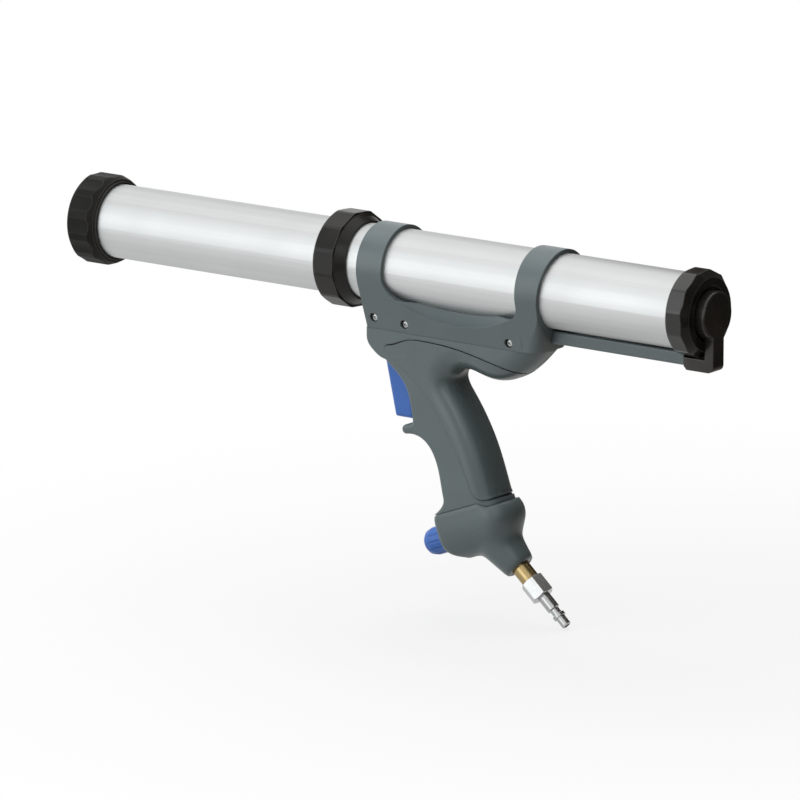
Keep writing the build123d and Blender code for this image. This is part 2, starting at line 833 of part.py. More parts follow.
# Border that stands out round the back of the foot
def border(height, thickness, proud, half):
    with BuildPart() as slab:
        with BuildSketch(foot_level(height)):
            with Locations((base_tail - foot_rear - proud, 0)):
                Ellipse(base_tail, half)
            with Locations((-step_front - 2 * base_tail, 0)):
                Rectangle(4 * base_tail, 4 * half, mode=Mode.INTERSECT)
        extrude(amount=thickness)
        with BuildSketch(Plane.XZ):
            with BuildLine():
                step = foot_step()
                Polyline(step @ 1, on_foot(-step_rear, -4 * hem), on_foot(foot_front, -4 * hem),
                         on_foot(foot_front, 0), step @ 0)
            make_face()
        extrude(amount=2 * half, both=True, mode=Mode.SUBTRACT)
    return slab.part


# Core of the handle under the cover
core_half = grip_half - cover_t
with BuildPart() as core:
    add(handle_block(core_half, cover_t, core_round, 0))
    add(cover_zone, mode=Mode.INTERSECT)

# Soft grip cover
with BuildPart() as grip_cover:
    add(handle_block(grip_half, 0, back_round, 0))
    add(border(0, bead, bead_proud, grip_half))
    add(cover_block(cover_seam), mode=Mode.INTERSECT)
    add(core.part, mode=Mode.SUBTRACT)
finish(grip_cover.part, "grip_cover")


# Trigger lever: outline of straight sides that meet the pivot boss tangent
pivot_x, pivot_z = at(pivot_back, pivot_drop)
boss_out = pin_d / 2 + trigger_boss


def by_pivot(forward, up):
    return (pivot_x + forward, pivot_z + up)


# Where a point of the trigger goes when it is pulled
def pulled(forward, up):
    turn = radians(trigger_pull)
    return (forward * cos(turn) + up * sin(turn), up * cos(turn) - forward * sin(turn))


def boss_tangent(forward, up, turn):
    angle = atan2(up, forward) + turn * acos(boss_out / hypot(forward, up))
    return (boss_out * cos(angle), boss_out * sin(angle))


brow = boss_tangent(shoulder_out, -shoulder_drop, 1)
nape = boss_tangent(-trigger_heel, -trigger_height, -1)
with BuildPart() as trigger:
    with BuildSketch(Plane.XZ) as lever:
        with BuildLine():
            Polyline(
                by_pivot(*brow),
                by_pivot(shoulder_out, -shoulder_drop),
                by_pivot(trigger_toe, -trigger_height),
                by_pivot(-trigger_heel, -trigger_height),
                by_pivot(*nape),
                by_pivot(0, 0),
                close=True,
            )
        make_face()
        corners = lever.vertices().group_by(Axis.Y)[0]
        fillet(corners, radius=trigger_boss / 2)
        with Locations((pivot_x, pivot_z)):
            Circle(boss_out)
    extrude(amount=trigger_half, both=True)
    face_rims = trigger.edges().filter_by(lambda e: abs(abs(e.center().Y) - trigger_half) < run_gap)
    fillet(face_rims.filter_by(GeomType.LINE).sort_by(Axis.X)[-2:], radius=trigger_boss)
    with BuildSketch(Plane.XZ):
        with Locations((pivot_x, pivot_z)):
            Circle(pin_d / 2 + run_gap)
    extrude(amount=grip_half, both=True, mode=Mode.SUBTRACT)
finish(trigger.part, "trigger")

# Trigger pin, flush with the core of the handle under the cover
with BuildPart() as trigger_pin:
    with BuildSketch(Plane.XZ):
        with Locations((pivot_x, pivot_z)):
            Circle(pin_d / 2)
    extrude(amount=core_half - free_gap, both=True)
finish(trigger_pin.part, "trigger_pin")

# Pipe runs: the supply comes up the handle, the delivery goes on to the air channel
valve_z = pivot_z - valve_drop
base_front = foot_front + base_bulge
collar_in = base_front - bonnet_len - run_gap
nut_front = collar_in - collar_t - free_gap
spring_front = nut_front - nut_len
reg_piston_front = spring_front - reg_spring_len
reg_piston_rear = reg_piston_front - reg_piston_len
bore_end = reg_piston_rear - reg_room
pipe_forward = (reg_piston_rear + bore_end) / 2
pipe_foot = -knob_drop / 3
pipe_top = (valve_z - foot_z - foot_fwd[2] * pipe_forward) / foot_up[2]
pipe_end = pipe_top - (valve_d + pipe_d * foot_up[0]) / 2 / foot_up[2] - free_gap

# Valve axis: towards the back, below the trigger pivot
valve_axis = Plane(origin=(pivot_x - valve_back, 0, valve_z), x_dir=(-1, 0, 0), z_dir=(0, 1, 0))
valve_len = pivot_x - valve_back - on_foot(pipe_forward, pipe_top)[0] + valve_tail
stem_r = stem_d / 2
chamber_r = chamber_d / 2
valve_port_x = pivot_x - valve_back - (stem_guide + valve_len - valve_end) / 2
with BuildPart() as supply_pipe:
    with BuildSketch(foot_level(pipe_foot)):
        with Locations((pipe_forward, 0)):
            Circle(pipe_d / 2)
            Circle(pipe_d / 2 - pipe_wall, mode=Mode.SUBTRACT)
    extrude(amount=pipe_end - pipe_foot)
finish(supply_pipe.part, "supply_pipe")
with BuildPart() as delivery_pipe:
    with BuildLine(Plane.XZ) as run:
        FilletPolyline(
            (valve_port_x, valve_z + valve_d / 2),
            (valve_port_x, chan_z),
            (chan_front - chan_spigot, chan_z),
            radius=pipe_bend,
        )
    with BuildSketch(Plane(origin=run.line @ 0, z_dir=run.line % 0)):
        Circle(pipe_d / 2)
        Circle(pipe_d / 2 - pipe_wall, mode=Mode.SUBTRACT)
    sweep()
finish(delivery_pipe.part, "delivery_pipe")

# Handle body: front of the handle, core under the cover, rails up into the cradle, trigger slot and bores
rail_out = cavity_half - free_gap
rail_top = seam_z + neck_drop - cavity_roof - free_gap
rail_front = cradle_front - cavity_wall - free_gap
rail_rear = chan_front + 2 * free_gap
slot_half = trigger_half + slot_play
nape_in, nape_up = pulled(*nape)
heel_in, heel_up = pulled(-trigger_heel, -trigger_height)
with BuildPart() as handle_body:
    add(handle_block(cheek_half, 0, back_round, front_round))
    add(cover_zone, mode=Mode.SUBTRACT)
    add(core.part)
    add(border(-hem, hem - hem_groove, hem_proud, cheek_half))
    with BuildSketch(Plane.XY.offset(seam_z)):
        with Locations(((rail_front + rail_rear) / 2, 0)):
            Rectangle(rail_front - rail_rear, 2 * rail_out)
            Rectangle(rail_front - rail_rear, 2 * (rail_out - rail_t), mode=Mode.SUBTRACT)
    extrude(amount=rail_top - seam_z)
    with BuildSketch(Plane.XZ):
        with BuildLine():
            Polyline(
                by_pivot(-boss_out - slot_play, 0),
                by_pivot(nape_in - slot_play, nape_up),
                by_pivot(heel_in - slot_play, heel_up),
                by_pivot(heel_in - slot_play, -trigger_height - slot_play),
                by_pivot(2 * shoulder_out, -trigger_height - slot_play),
                by_pivot(2 * shoulder_out, -shoulder_drop + slot_play),
                by_pivot(shoulder_out, -shoulder_drop + slot_play),
                by_pivot(brow[0] + slot_play, brow[1] + slot_play),
                by_pivot(0, 0),
                close=True,
            )
        make_face()
        with Locations((pivot_x, pivot_z)):
            Circle(boss_out + slot_play)
    extrude(amount=slot_half, both=True, mode=Mode.SUBTRACT)
    with BuildSketch(Plane.XZ):
        with Locations((pivot_x, pivot_z)):
            Circle(pin_d / 2)
    extrude(amount=core_half, both=True, mode=Mode.SUBTRACT)
    add(turned([
        (-valve_back, 0),
        (-valve_back, valve_d / 2 + run_gap),
        (valve_len, valve_d / 2 + run_gap),
        (valve_len, 0),
    ], valve_axis), mode=Mode.SUBTRACT)
    with BuildSketch(foot_level(0)):
        with Locations((pipe_forward, 0)):
            Circle(pipe_d / 2 + run_gap)
    extrude(amount=pipe_end, mode=Mode.SUBTRACT)
    with BuildSketch(foot_level(pipe_end)):
        with Locations((pipe_forward, 0)):
            Circle(pipe_d / 2 - pipe_wall)
    extrude(amount=pipe_top - pipe_end, mode=Mode.SUBTRACT)
    with BuildSketch(Plane.XY.offset(valve_z)):
        with Locations((valve_port_x, 0)):
            Circle(pipe_d / 2 + run_gap)
    extrude(amount=seam_z - valve_z, mode=Mode.SUBTRACT)
    for back, up in screw_places:
        with BuildSketch(Plane.XZ):
            with Locations((cradle_front - back, seam_z + up)):
                Circle(screw_d / 2)
        extrude(amount=2 * neck_half, both=True, mode=Mode.SUBTRACT)
finish(handle_body.part, "handle_body")

# Valve body with its guide, chamber and ports
seal_in = stem_guide / 4
with BuildPart() as valve_body:
    add(turned([
        (0, stem_r + run_gap),
        (0, valve_d / 2),
        (valve_len, valve_d / 2),
        (valve_len, 0),
        (valve_len - valve_end, 0),
        (valve_len - valve_end, chamber_r),
        (stem_guide, chamber_r),
        (stem_guide, stem_r + run_gap),
        (seal_in + stem_seal_len, stem_r + run_gap),
        (seal_in + stem_seal_len, stem_r + run_gap + stem_seal_t),
        (seal_in, stem_r + run_gap + stem_seal_t),
        (seal_in, stem_r + run_gap),
    ], valve_axis))
    with BuildSketch(Plane.XY.offset(valve_z)):
        with Locations((valve_port_x, 0)):
            Circle(pipe_d / 2 - pipe_wall)
    extrude(amount=valve_d, mode=Mode.SUBTRACT)
    with BuildSketch(foot_level(pipe_top)):
        with Locations((pipe_forward, 0)):
            Circle(pipe_d / 2 - pipe_wall)
    extrude(amount=-valve_d, mode=Mode.SUBTRACT)
finish(valve_body.part, "valve_body")
with BuildPart() as stem_seal:
    add(turned([
        (seal_in, stem_r + run_gap),
        (seal_in, stem_r + run_gap + stem_seal_t),
        (seal_in + stem_seal_len, stem_r + run_gap + stem_seal_t),
        (seal_in + stem_seal_len, stem_r + run_gap),
    ], valve_axis))
finish(stem_seal.part, "stem_seal")

# Valve stem: round tip behind the trigger, head in the chamber
lean = (valve_drop + nape[1]) / (trigger_height + nape[1])
trigger_rear = nape[0] - lean * (trigger_heel + nape[0])
stem_tip = -(trigger_rear + valve_back - free_gap)
head_in = stem_guide + free_gap
with BuildPart() as valve_stem:
    add(turned([
        (stem_tip, 0),
        (stem_tip, stem_r),
        (head_in, stem_r),
        (head_in, stem_head_d / 2),
        (head_in + stem_head, stem_head_d / 2),
        (head_in + stem_head, 0),
    ], valve_axis))
    fillet(valve_stem.edges().filter_by(GeomType.CIRCLE).sort_by(Axis.X)[-1], radius=stem_r * 0.9)
finish(valve_stem.part, "valve_stem")

# Valve spring between the stem head and the end of the chamber
with BuildPart() as valve_spring:
    add(turned([
        (head_in + stem_head, chamber_r - free_gap - valve_wire),
        (head_in + stem_head, chamber_r - free_gap),
        (valve_len - valve_end, chamber_r - free_gap),
        (valve_len - valve_end, chamber_r - free_gap - valve_wire),
    ], valve_axis))
finish(valve_spring.part, "valve_spring")

# Base: a rounded pot that closes in below, with the inlet neck at the back
base_levels = [
    (0, -2.4, 3.2, -0.4),
    (0.25, -0.2, 6.8, 0.1),
    (0.52, 0, 5.6, -0.3),
    (0.73, -0.8, 1.5, -3),
    (0.89, -6, -1.8, -7.6),
    (1, -12, -7.5, -14),
]


def base_section(share, front_add, rear_add, half_add):
    front = base_front + front_add
    rear = foot_rear + rear_add
    half = base_half + half_add
    tail = base_tail * half / base_half
    corner = base_corner * half / base_half
    with BuildSketch(foot_level(-share * base_depth)) as section:
        with BuildLine():
            nose = Line((front, corner - half), (front, half - corner))
            turn_a = JernArc(nose @ 1, nose % 1, corner, 90)
            Line(turn_a @ 1, (tail - rear, half))
            EllipticalCenterArc((tail - rear, 0), tail, half, 90, arc_size=180)
            turn_b = JernArc(nose @ 0, (0, -1), corner, -90)
            Line((tail - rear, -half), turn_b @ 1)
        make_face()
    return section.sketch


mouth_x, mouth_z = at(inlet_back, inlet_drop)
inlet_way = (-cos(radians(inlet_dip)), 0, -sin(radians(inlet_dip)))
inlet_axis = Plane(origin=(mouth_x, 0, mouth_z), x_dir=inlet_way, z_dir=(0, 1, 0))
reg_x, reg_z = on_foot(0, -knob_drop)
reg_axis = Plane(origin=(reg_x, 0, reg_z), x_dir=foot_fwd, z_dir=(0, -1, 0))
reg_r = reg_bore / 2
with BuildPart() as base_housing:
    loft([base_section(*level) for level in base_levels])
    lid = base_housing.faces().sort_by(Axis((0, 0, 0), foot_up))[-1]
    chamfer(lid.edges(), length=base_bevel)
    with BuildSketch(Plane.XZ):
        with BuildLine():
            step = foot_step()
            Polyline(step @ 1, on_foot(-4 * foot_rear, -hem), on_foot(-4 * foot_rear, hem),
                     on_foot(-step_front, hem), step @ 0)
        make_face()
    extrude(amount=2 * base_half, both=True, mode=Mode.SUBTRACT)
    add(turned([
        (0, 0),
        (0, mouth_d / 2 - mouth_round),
        (-mouth_round / 2, mouth_d / 2 - mouth_round / 4),
        (-2 * mouth_round, mouth_d / 2 + mouth_round / 4),
        (-neck_len, neck_d / 2),
        (-neck_len, 0),
    ], inlet_axis))
    add(turned([
        (base_front + base_bulge, 0),
        (base_front + base_bulge, reg_r),
        (bore_end, reg_r),
        (bore_end, 0),
    ], reg_axis), mode=Mode.SUBTRACT)
    add(turned([
        (0, 0),
        (0, adaptor_d / 2),
        (-adaptor_sunk, adaptor_d / 2),
        (-adaptor_sunk, inlet_bore / 2),
        (-neck_len - reg_r / 2, inlet_bore / 2),
        (-neck_len - reg_r / 2, 0),
    ], inlet_axis), mode=Mode.SUBTRACT)
    with BuildSketch(foot_level(0)):
        with Locations((pipe_forward, 0)):
            Circle(pipe_d / 2 + run_gap)
    extrude(amount=pipe_foot, mode=Mode.SUBTRACT)
    with BuildSketch(foot_level(pipe_foot)):
        with Locations((pipe_forward, 0)):
            Circle(pipe_d / 2 - pipe_wall)
    extrude(amount=-knob_drop - pipe_foot, mode=Mode.SUBTRACT)
    with BuildSketch(foot_level(0)):
        with Locations((pipe_forward, 0)):
            Circle(pipe_d / 2 + foot_seal_t)
    extrude(amount=-foot_seal_t, mode=Mode.SUBTRACT)
finish(base_housing.part, "base_housing")
with BuildPart() as foot_seal:
    with BuildSketch(foot_level(0)):
        with Locations((pipe_forward, 0)):
            Circle(pipe_d / 2 + foot_seal_t)
            Circle(pipe_d / 2, mode=Mode.SUBTRACT)
    extrude(amount=-foot_seal_t)
finish(foot_seal.part, "foot_seal")

# Regulator: bonnet, spindle, follower nut, spring and piston in the bore of the base
spindle_r = spindle_d / 2
with BuildPart() as bonnet:
    add(turned([
        (base_front, spindle_r + run_gap),
        (base_front, reg_r - run_gap),
        (base_front - bonnet_len, reg_r - run_gap),
        (base_front - bonnet_len, spindle_r + run_gap),
    ], reg_axis))
finish(bonnet.part, "regulator_bonnet")
knob_rear = base_front + free_gap
knob_front = knob_rear + knob_len
with BuildPart() as spindle:
    add(turned([
        (knob_front - knob_hub, 0),
        (knob_front - knob_hub, spindle_r),
        (collar_in, spindle_r),
        (collar_in, collar_d / 2),
        (collar_in - collar_t, collar_d / 2),
        (collar_in - collar_t, spindle_r),
        (collar_in - collar_t - spindle_tail, spindle_r),
        (collar_in - collar_t - spindle_tail, 0),
    ], reg_axis))
finish(spindle.part, "regulator_spindle")
with BuildPart() as follower:
    add(turned([
        (nut_front, spindle_r + run_gap),
        (nut_front, reg_r - free_gap),
        (nut_front - nut_len, reg_r - free_gap),
        (nut_front - nut_len, spindle_r + run_gap),
    ], reg_axis))
finish(follower.part, "spring_follower")
with BuildPart() as reg_spring:
    add(turned([
        (spring_front, reg_spring_d / 2 - reg_spring_wire),
        (spring_front, reg_spring_d / 2),
        (reg_piston_front, reg_spring_d / 2),
        (reg_piston_front, reg_spring_d / 2 - reg_spring_wire),
    ], reg_axis))
finish(reg_spring.part, "regulator_spring")
with BuildPart() as reg_piston:
    add(turned([
        (reg_piston_front, 0),
        (reg_piston_front, reg_r - run_gap),
        (reg_piston_rear, reg_r - run_gap),
        (reg_piston_rear, 0),
    ], reg_axis))
finish(reg_piston.part, "regulator_piston")

# Regulator knob with shallow finger flutes
with BuildPart() as knob:
    add(turned([
        (knob_rear, 0),
        (knob_rear, knob_d / 2),
        (knob_front - knob_len * 0.3, knob_d / 2),
        (knob_front - knob_len * 0.1, knob_d * 0.44),
        (knob_front, knob_d * 0.34),
        (knob_front, 0),
    ], reg_axis))
    knob_plane = Plane(origin=(reg_x, 0, reg_z), x_dir=(0, 1, 0), z_dir=foot_fwd)
    with BuildSketch(knob_plane.offset(knob_rear)):
        with PolarLocations(knob_d / 2 + knob_grip_depth, knob_grips):
            Circle(2 * knob_grip_depth)
    extrude(amount=knob_len, mode=Mode.SUBTRACT)
    with BuildSketch(knob_plane.offset(knob_rear)):
        Circle(spindle_r)
    extrude(amount=knob_len - knob_hub, mode=Mode.SUBTRACT)
finish(knob.part, "regulator_knob")

# Brass adaptor in the neck
with BuildPart() as adaptor:
    add(turned([
        (-adaptor_sunk, inlet_bore / 2),
        (-adaptor_sunk, adaptor_d / 2),
        (adaptor_shown, adaptor_d / 2),
        (adaptor_shown, inlet_bore / 2),
    ], inlet_axis))
finish(adaptor.part, "inlet_adaptor")

# Hose plug: hexagon and nipple in one piece
hex_r = hex_af / 2 / cos(pi / 6)
shank_in = adaptor_shown + hex_len
groove_in = shank_in + shank_len
flange_in = groove_in + groove_len
tip_in = flange_in + flange_len
tip_out = tip_in + tip_len
with BuildPart() as plug:
    add(turned([
        (adaptor_shown, plug_bore / 2),
        (adaptor_shown, hex_r - hex_chamfer),
        (adaptor_shown + hex_chamfer / 2, hex_r),
        (shank_in - hex_chamfer / 2, hex_r),
        (shank_in, hex_r - hex_chamfer),
        (shank_in, plug_bore / 2),
    ], inlet_axis))
    hex_plane = Plane(origin=(mouth_x, 0, mouth_z), x_dir=(0, 1, 0), z_dir=inlet_way)
    with BuildSketch(hex_plane.offset(adaptor_shown)):
        RegularPolygon(hex_af / 2, 6, major_radius=False, rotation=hex_turn)
    extrude(amount=hex_len, mode=Mode.INTERSECT)
    add(turned([
        (shank_in, plug_bore / 2),
        (shank_in, shank_d / 2),
        (groove_in - (shank_d - groove_d) / 4, shank_d / 2),
        (groove_in, groove_d / 2),
        (flange_in, groove_d / 2),
        (flange_in, flange_d / 2),
        (tip_in, flange_d / 2),
        (tip_in, tip_d / 2),
        (tip_out - tip_d / 10, tip_d / 2),
        (tip_out, tip_d * 0.4),
        (tip_out, plug_bore / 2),
    ], inlet_axis))
finish(plug.part, "hose_plug")
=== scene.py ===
import math

import bmesh
import bpy
from mathutils import Matrix, Vector


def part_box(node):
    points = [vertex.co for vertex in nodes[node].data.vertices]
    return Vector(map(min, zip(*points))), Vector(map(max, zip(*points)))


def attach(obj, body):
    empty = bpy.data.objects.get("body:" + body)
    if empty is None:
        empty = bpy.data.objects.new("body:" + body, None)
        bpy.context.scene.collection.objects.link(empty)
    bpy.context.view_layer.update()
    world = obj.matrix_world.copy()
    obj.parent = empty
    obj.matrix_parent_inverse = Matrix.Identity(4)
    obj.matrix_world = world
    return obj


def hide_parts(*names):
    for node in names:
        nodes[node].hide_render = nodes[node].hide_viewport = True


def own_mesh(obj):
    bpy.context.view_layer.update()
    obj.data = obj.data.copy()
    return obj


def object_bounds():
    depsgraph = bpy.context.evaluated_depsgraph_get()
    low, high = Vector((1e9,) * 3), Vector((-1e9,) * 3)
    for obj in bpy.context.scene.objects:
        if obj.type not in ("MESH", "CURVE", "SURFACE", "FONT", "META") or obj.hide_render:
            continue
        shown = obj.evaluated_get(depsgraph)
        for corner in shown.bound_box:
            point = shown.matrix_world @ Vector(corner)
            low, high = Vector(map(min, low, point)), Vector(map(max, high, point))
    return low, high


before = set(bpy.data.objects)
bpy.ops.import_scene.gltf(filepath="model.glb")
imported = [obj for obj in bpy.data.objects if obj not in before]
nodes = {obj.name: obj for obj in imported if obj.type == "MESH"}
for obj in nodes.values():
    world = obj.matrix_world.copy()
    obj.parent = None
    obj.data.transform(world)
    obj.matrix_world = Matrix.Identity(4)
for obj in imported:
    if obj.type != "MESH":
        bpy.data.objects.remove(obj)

scene = bpy.context.scene
cadBox = [[float(v) for v in corner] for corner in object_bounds()]
print("frame loaded,", len(nodes), "nodes")


# camera, at the photograph's angle
shot = {
    "target": (-0.27954, 0.0, -0.09842),
    "azimuth": 216.612,
    "elevation": 13.453,
    "distance": 5.0,
    "lens": 315.2,
    "sensor": 36.0,
    "clip": 40.0,
}
turn = math.radians(shot["azimuth"])
lift = math.radians(shot["elevation"])
backward = Vector((math.sin(turn) * math.cos(lift), -math.cos(turn) * math.cos(lift), math.sin(lift)))
camera = bpy.data.objects.new("shotCamera", bpy.data.cameras.new("shotCamera"))
camera.data.lens = shot["lens"]
camera.data.sensor_width = shot["sensor"]
camera.data.clip_end = shot["clip"]
camera.location = Vector(shot["target"]) + backward * shot["distance"]
camera.rotation_euler = backward.to_track_quat("Z", "Y").to_euler()
scene.collection.objects.link(camera)
scene.camera = camera
scene.view_settings.view_transform = "Standard"
print("camera set")


# small helpers for node trees
def addNode(tree, kind, **values):
    node = tree.nodes.new(kind)
    for name, value in values.items():
        setattr(node, name, value)
    return node


def wire(tree, source, target):
    tree.links.new(source, target)


def mathNode(tree, operation, first, second, clamp=False):
    node = addNode(tree, "ShaderNodeMath", operation=operation, use_clamp=clamp)
    for index, value in enumerate((first, second)):
        if isinstance(value, (int, float)):
            node.inputs[index].default_value = value
        else:
            wire(tree, value, node.inputs[index])
    return node.outputs[0]


def rangeNode(tree, value, low, high, newLow, newHigh):
    node = addNode(tree, "ShaderNodeMapRange", clamp=True)
    wire(tree, value, node.inputs["Value"])
    node.inputs["From Min"].default_value = low
    node.inputs["From Max"].default_value = high
    node.inputs["To Min"].default_value = newLow
    node.inputs["To Max"].default_value = newHigh
    return node.outputs["Result"]


def mixColour(tree, factor, first, second):
    # the mix node's colour sockets share their names with others, so they go by number
    node = addNode(tree, "ShaderNodeMix", data_type="RGBA", clamp_factor=True)
    wire(tree, factor, node.inputs[0])
    for index, value in ((6, first), (7, second)):
        if isinstance(value, tuple):
            node.inputs[index].default_value = (*value, 1.0)
        else:
            wire(tree, value, node.inputs[index])
    return node.outputs[2]


def shaderGroup(name, inputs, outputs):
    tree = bpy.data.node_groups.new(name, "ShaderNodeTree")
    for label, kind, value in inputs:
        socket = tree.interface.new_socket(label, in_out="INPUT", socket_type=kind)
        if value is not None:
            socket.default_value = value
    for label, kind in outputs:
        tree.interface.new_socket(label, in_out="OUTPUT", socket_type=kind)
    return tree, addNode(tree, "NodeGroupInput"), addNode(tree, "NodeGroupOutput")


numberSocket = "NodeSocketFloat"
wholeSocket = "NodeSocketInt"
objectSocket = "NodeSocketObject"
vectorSocket = "NodeSocketVector"
noiseSpan = (0.3, 0.7)  # where most of a noise texture's values lie


# soft edge: rounded normal near an edge, and a mask of the edge itself
def makeSoftEdge():
    tree, inside, outside = shaderGroup(
        "softEdge",
        [("Radius", numberSocket, 0.0006), ("Gain", numberSocket, 3.0)],
        [("Normal", vectorSocket), ("Edge", numberSocket)],
    )
    bevel = addNode(tree, "ShaderNodeBevel", samples=6)
    wire(tree, inside.outputs["Radius"], bevel.inputs["Radius"])
    surface = addNode(tree, "ShaderNodeNewGeometry")
    dot = addNode(tree, "ShaderNodeVectorMath", operation="DOT_PRODUCT")
    wire(tree, bevel.outputs["Normal"], dot.inputs[0])
    wire(tree, surface.outputs["Normal"], dot.inputs[1])
    away = mathNode(tree, "SUBTRACT", 1.0, dot.outputs["Value"])
    edge = mathNode(tree, "MULTIPLY", away, inside.outputs["Gain"], clamp=True)
    wire(tree, bevel.outputs["Normal"], outside.inputs["Normal"])
    wire(tree, edge, outside.inputs["Edge"])
    return tree


# seam shade: how far a point sits in a groove or a hole, the mask that the mouldings paint shade with
def makeSeamShade():
    tree, inside, outside = shaderGroup(
        "seamShade",
        [("Reach", numberSocket, 0.003)],
        [("Shade", numberSocket)],
    )
    hollow = addNode(tree, "ShaderNodeAmbientOcclusion", samples=6)
    wire(tree, inside.outputs["Reach"], hollow.inputs["Distance"])
    shut, plain = 0.30, 0.90  # open share deep in a groove, and on a plain face
    shade = rangeNode(tree, hollow.outputs["AO"], shut, plain, 1.0, 0.0)
    wire(tree, shade, outside.inputs["Shade"])
    return tree


# mould grain: the fine spark-eroded skin of a moulding
def makeMouldGrain():
    tree, inside, outside = shaderGroup(
        "mouldGrain",
        [("Vector", vectorSocket, None), ("Size", numberSocket, 900.0)],
        [("Height", numberSocket), ("Mottle", numberSocket)],
    )
    pitShare, cloudShare = 0.7, 0.6
    pits = addNode(tree, "ShaderNodeTexVoronoi", feature="SMOOTH_F1")
    pits.inputs["Smoothness"].default_value = 0.6
    cloud = addNode(tree, "ShaderNodeTexNoise")
    cloud.inputs["Detail"].default_value = 3.0
    broad = addNode(tree, "ShaderNodeTexNoise")
    broad.inputs["Scale"].default_value = 38.0
    broad.inputs["Detail"].default_value = 4.0
    for texture in (pits, cloud, broad):
        wire(tree, inside.outputs["Vector"], texture.inputs["Vector"])
    for texture in (pits, cloud):
        wire(tree, inside.outputs["Size"], texture.inputs["Scale"])
    high = mathNode(tree, "MULTIPLY", pits.outputs["Distance"], pitShare)
    low = mathNode(tree, "MULTIPLY", cloud.outputs[0], cloudShare)
    wire(tree, mathNode(tree, "ADD", high, low), outside.inputs["Height"])
    wire(tree, rangeNode(tree, broad.outputs[0], *noiseSpan, 0.0, 1.0), outside.inputs["Mottle"])
    return tree


# draw lines: long fine lines along X, as an extruded and brushed tube has
def makeDrawLines():
    tree, inside, outside = shaderGroup(
        "drawLines",
        [
            ("Vector", vectorSocket, None),
            ("Along", numberSocket, 4.0),
            ("Across", numberSocket, 1400.0),
        ],
        [("Height", numberSocket), ("Streak", numberSocket)],
    )
    stretch = addNode(tree, "ShaderNodeCombineXYZ")
    wire(tree, inside.outputs["Along"], stretch.inputs["X"])
    wire(tree, inside.outputs["Across"], stretch.inputs["Y"])
    wire(tree, inside.outputs["Across"], stretch.inputs["Z"])
    scaled = addNode(tree, "ShaderNodeVectorMath", operation="MULTIPLY")
    wire(tree, inside.outputs["Vector"], scaled.inputs[0])
    wire(tree, stretch.outputs["Vector"], scaled.inputs[1])
    fine = addNode(tree, "ShaderNodeTexNoise")
    fine.inputs["Scale"].default_value = 1.0
    fine.inputs["Detail"].default_value = 3.0
    broad = addNode(tree, "ShaderNodeTexNoise")
    broad.inputs["Scale"].default_value = 0.13
    broad.inputs["Detail"].default_value = 2.0
    for texture in (fine, broad):
        wire(tree, scaled.outputs["Vector"], texture.inputs["Vector"])
    wire(tree, fine.outputs[0], outside.inputs["Height"])
    bothSpan = (0.7, 1.3)
    both = mathNode(tree, "ADD", fine.outputs[0], broad.outputs[0])
    wire(tree, rangeNode(tree, both, *bothSpan, 0.0, 1.0), outside.inputs["Streak"])
    return tree


# turn lines: rings round X, as a lathe leaves them
def makeTurnLines():
    tree, inside, outside = shaderGroup(
        "turnLines",
        [("Vector", vectorSocket, None), ("Pitch", numberSocket, 2600.0)],
        [("Height", numberSocket), ("Streak", numberSocket)],
    )
    split = addNode(tree, "ShaderNodeSeparateXYZ")
    wire(tree, inside.outputs["Vector"], split.inputs["Vector"])
    place = mathNode(tree, "MULTIPLY", split.outputs["X"], inside.outputs["Pitch"])
    fine = addNode(tree, "ShaderNodeTexNoise", noise_dimensions="1D")
    fine.inputs["Scale"].default_value = 1.0
    fine.inputs["Detail"].default_value = 3.0
    wire(tree, place, fine.inputs["W"])
    wire(tree, fine.outputs[0], outside.inputs["Height"])
    wire(tree, rangeNode(tree, fine.outputs[0], *noiseSpan, 0.0, 1.0), outside.inputs["Streak"])
    return tree


# handling: smudges left by hands, and sparse dust specks
def makeHandling():
    tree, inside, outside = shaderGroup(
        "handling",
        [("Vector", vectorSocket, None), ("Scale", numberSocket, 30.0)],
        [("Smudge", numberSocket), ("Speck", numberSocket)],
    )
    patchSpan = (0.35, 0.65)
    speckSpan = (0.04, 0.11)  # a speck's core and rim, in cells
    speckLimit = 0.9  # cells whose random value is lower stay clean
    patch = addNode(tree, "ShaderNodeTexNoise")
    patch.inputs["Detail"].default_value = 5.0
    patch.inputs["Distortion"].default_value = 0.6
    wire(tree, inside.outputs["Vector"], patch.inputs["Vector"])
    wire(tree, inside.outputs["Scale"], patch.inputs["Scale"])
    dots = addNode(tree, "ShaderNodeTexVoronoi")
    dots.inputs["Scale"].default_value = 420.0
    wire(tree, inside.outputs["Vector"], dots.inputs["Vector"])
    near = rangeNode(tree, dots.outputs["Distance"], *speckSpan, 1.0, 0.0)
    spread = addNode(tree, "ShaderNodeSeparateColor")
    wire(tree, dots.outputs["Color"], spread.inputs[0])
    rare = mathNode(tree, "GREATER_THAN", spread.outputs[0], speckLimit)
    wire(tree, rangeNode(tree, patch.outputs[0], *patchSpan, 0.0, 1.0), outside.inputs["Smudge"])
    wire(tree, mathNode(tree, "MULTIPLY", near, rare), outside.inputs["Speck"])
    return tree


groups = {
    "softEdge": makeSoftEdge(),
    "seamShade": makeSeamShade(),
    "mouldGrain": makeMouldGrain(),
    "drawLines": makeDrawLines(),
    "turnLines": makeTurnLines(),
    "handling": makeHandling(),
}
print("shader groups made:", ", ".join(groups))


def startFinish(name):
    material = bpy.data.materials.new(name)
    material.use_nodes = True
    tree = material.node_tree
    shader = tree.nodes["Principled BSDF"]
    return material, tree, shader


def useGroup(tree, name, vector=None, **values):
    node = addNode(tree, "ShaderNodeGroup", node_tree=groups[name])
    for label, value in values.items():
        node.inputs[label].default_value = value
    if vector is not None:
        wire(tree, vector, node.inputs["Vector"])
    return node


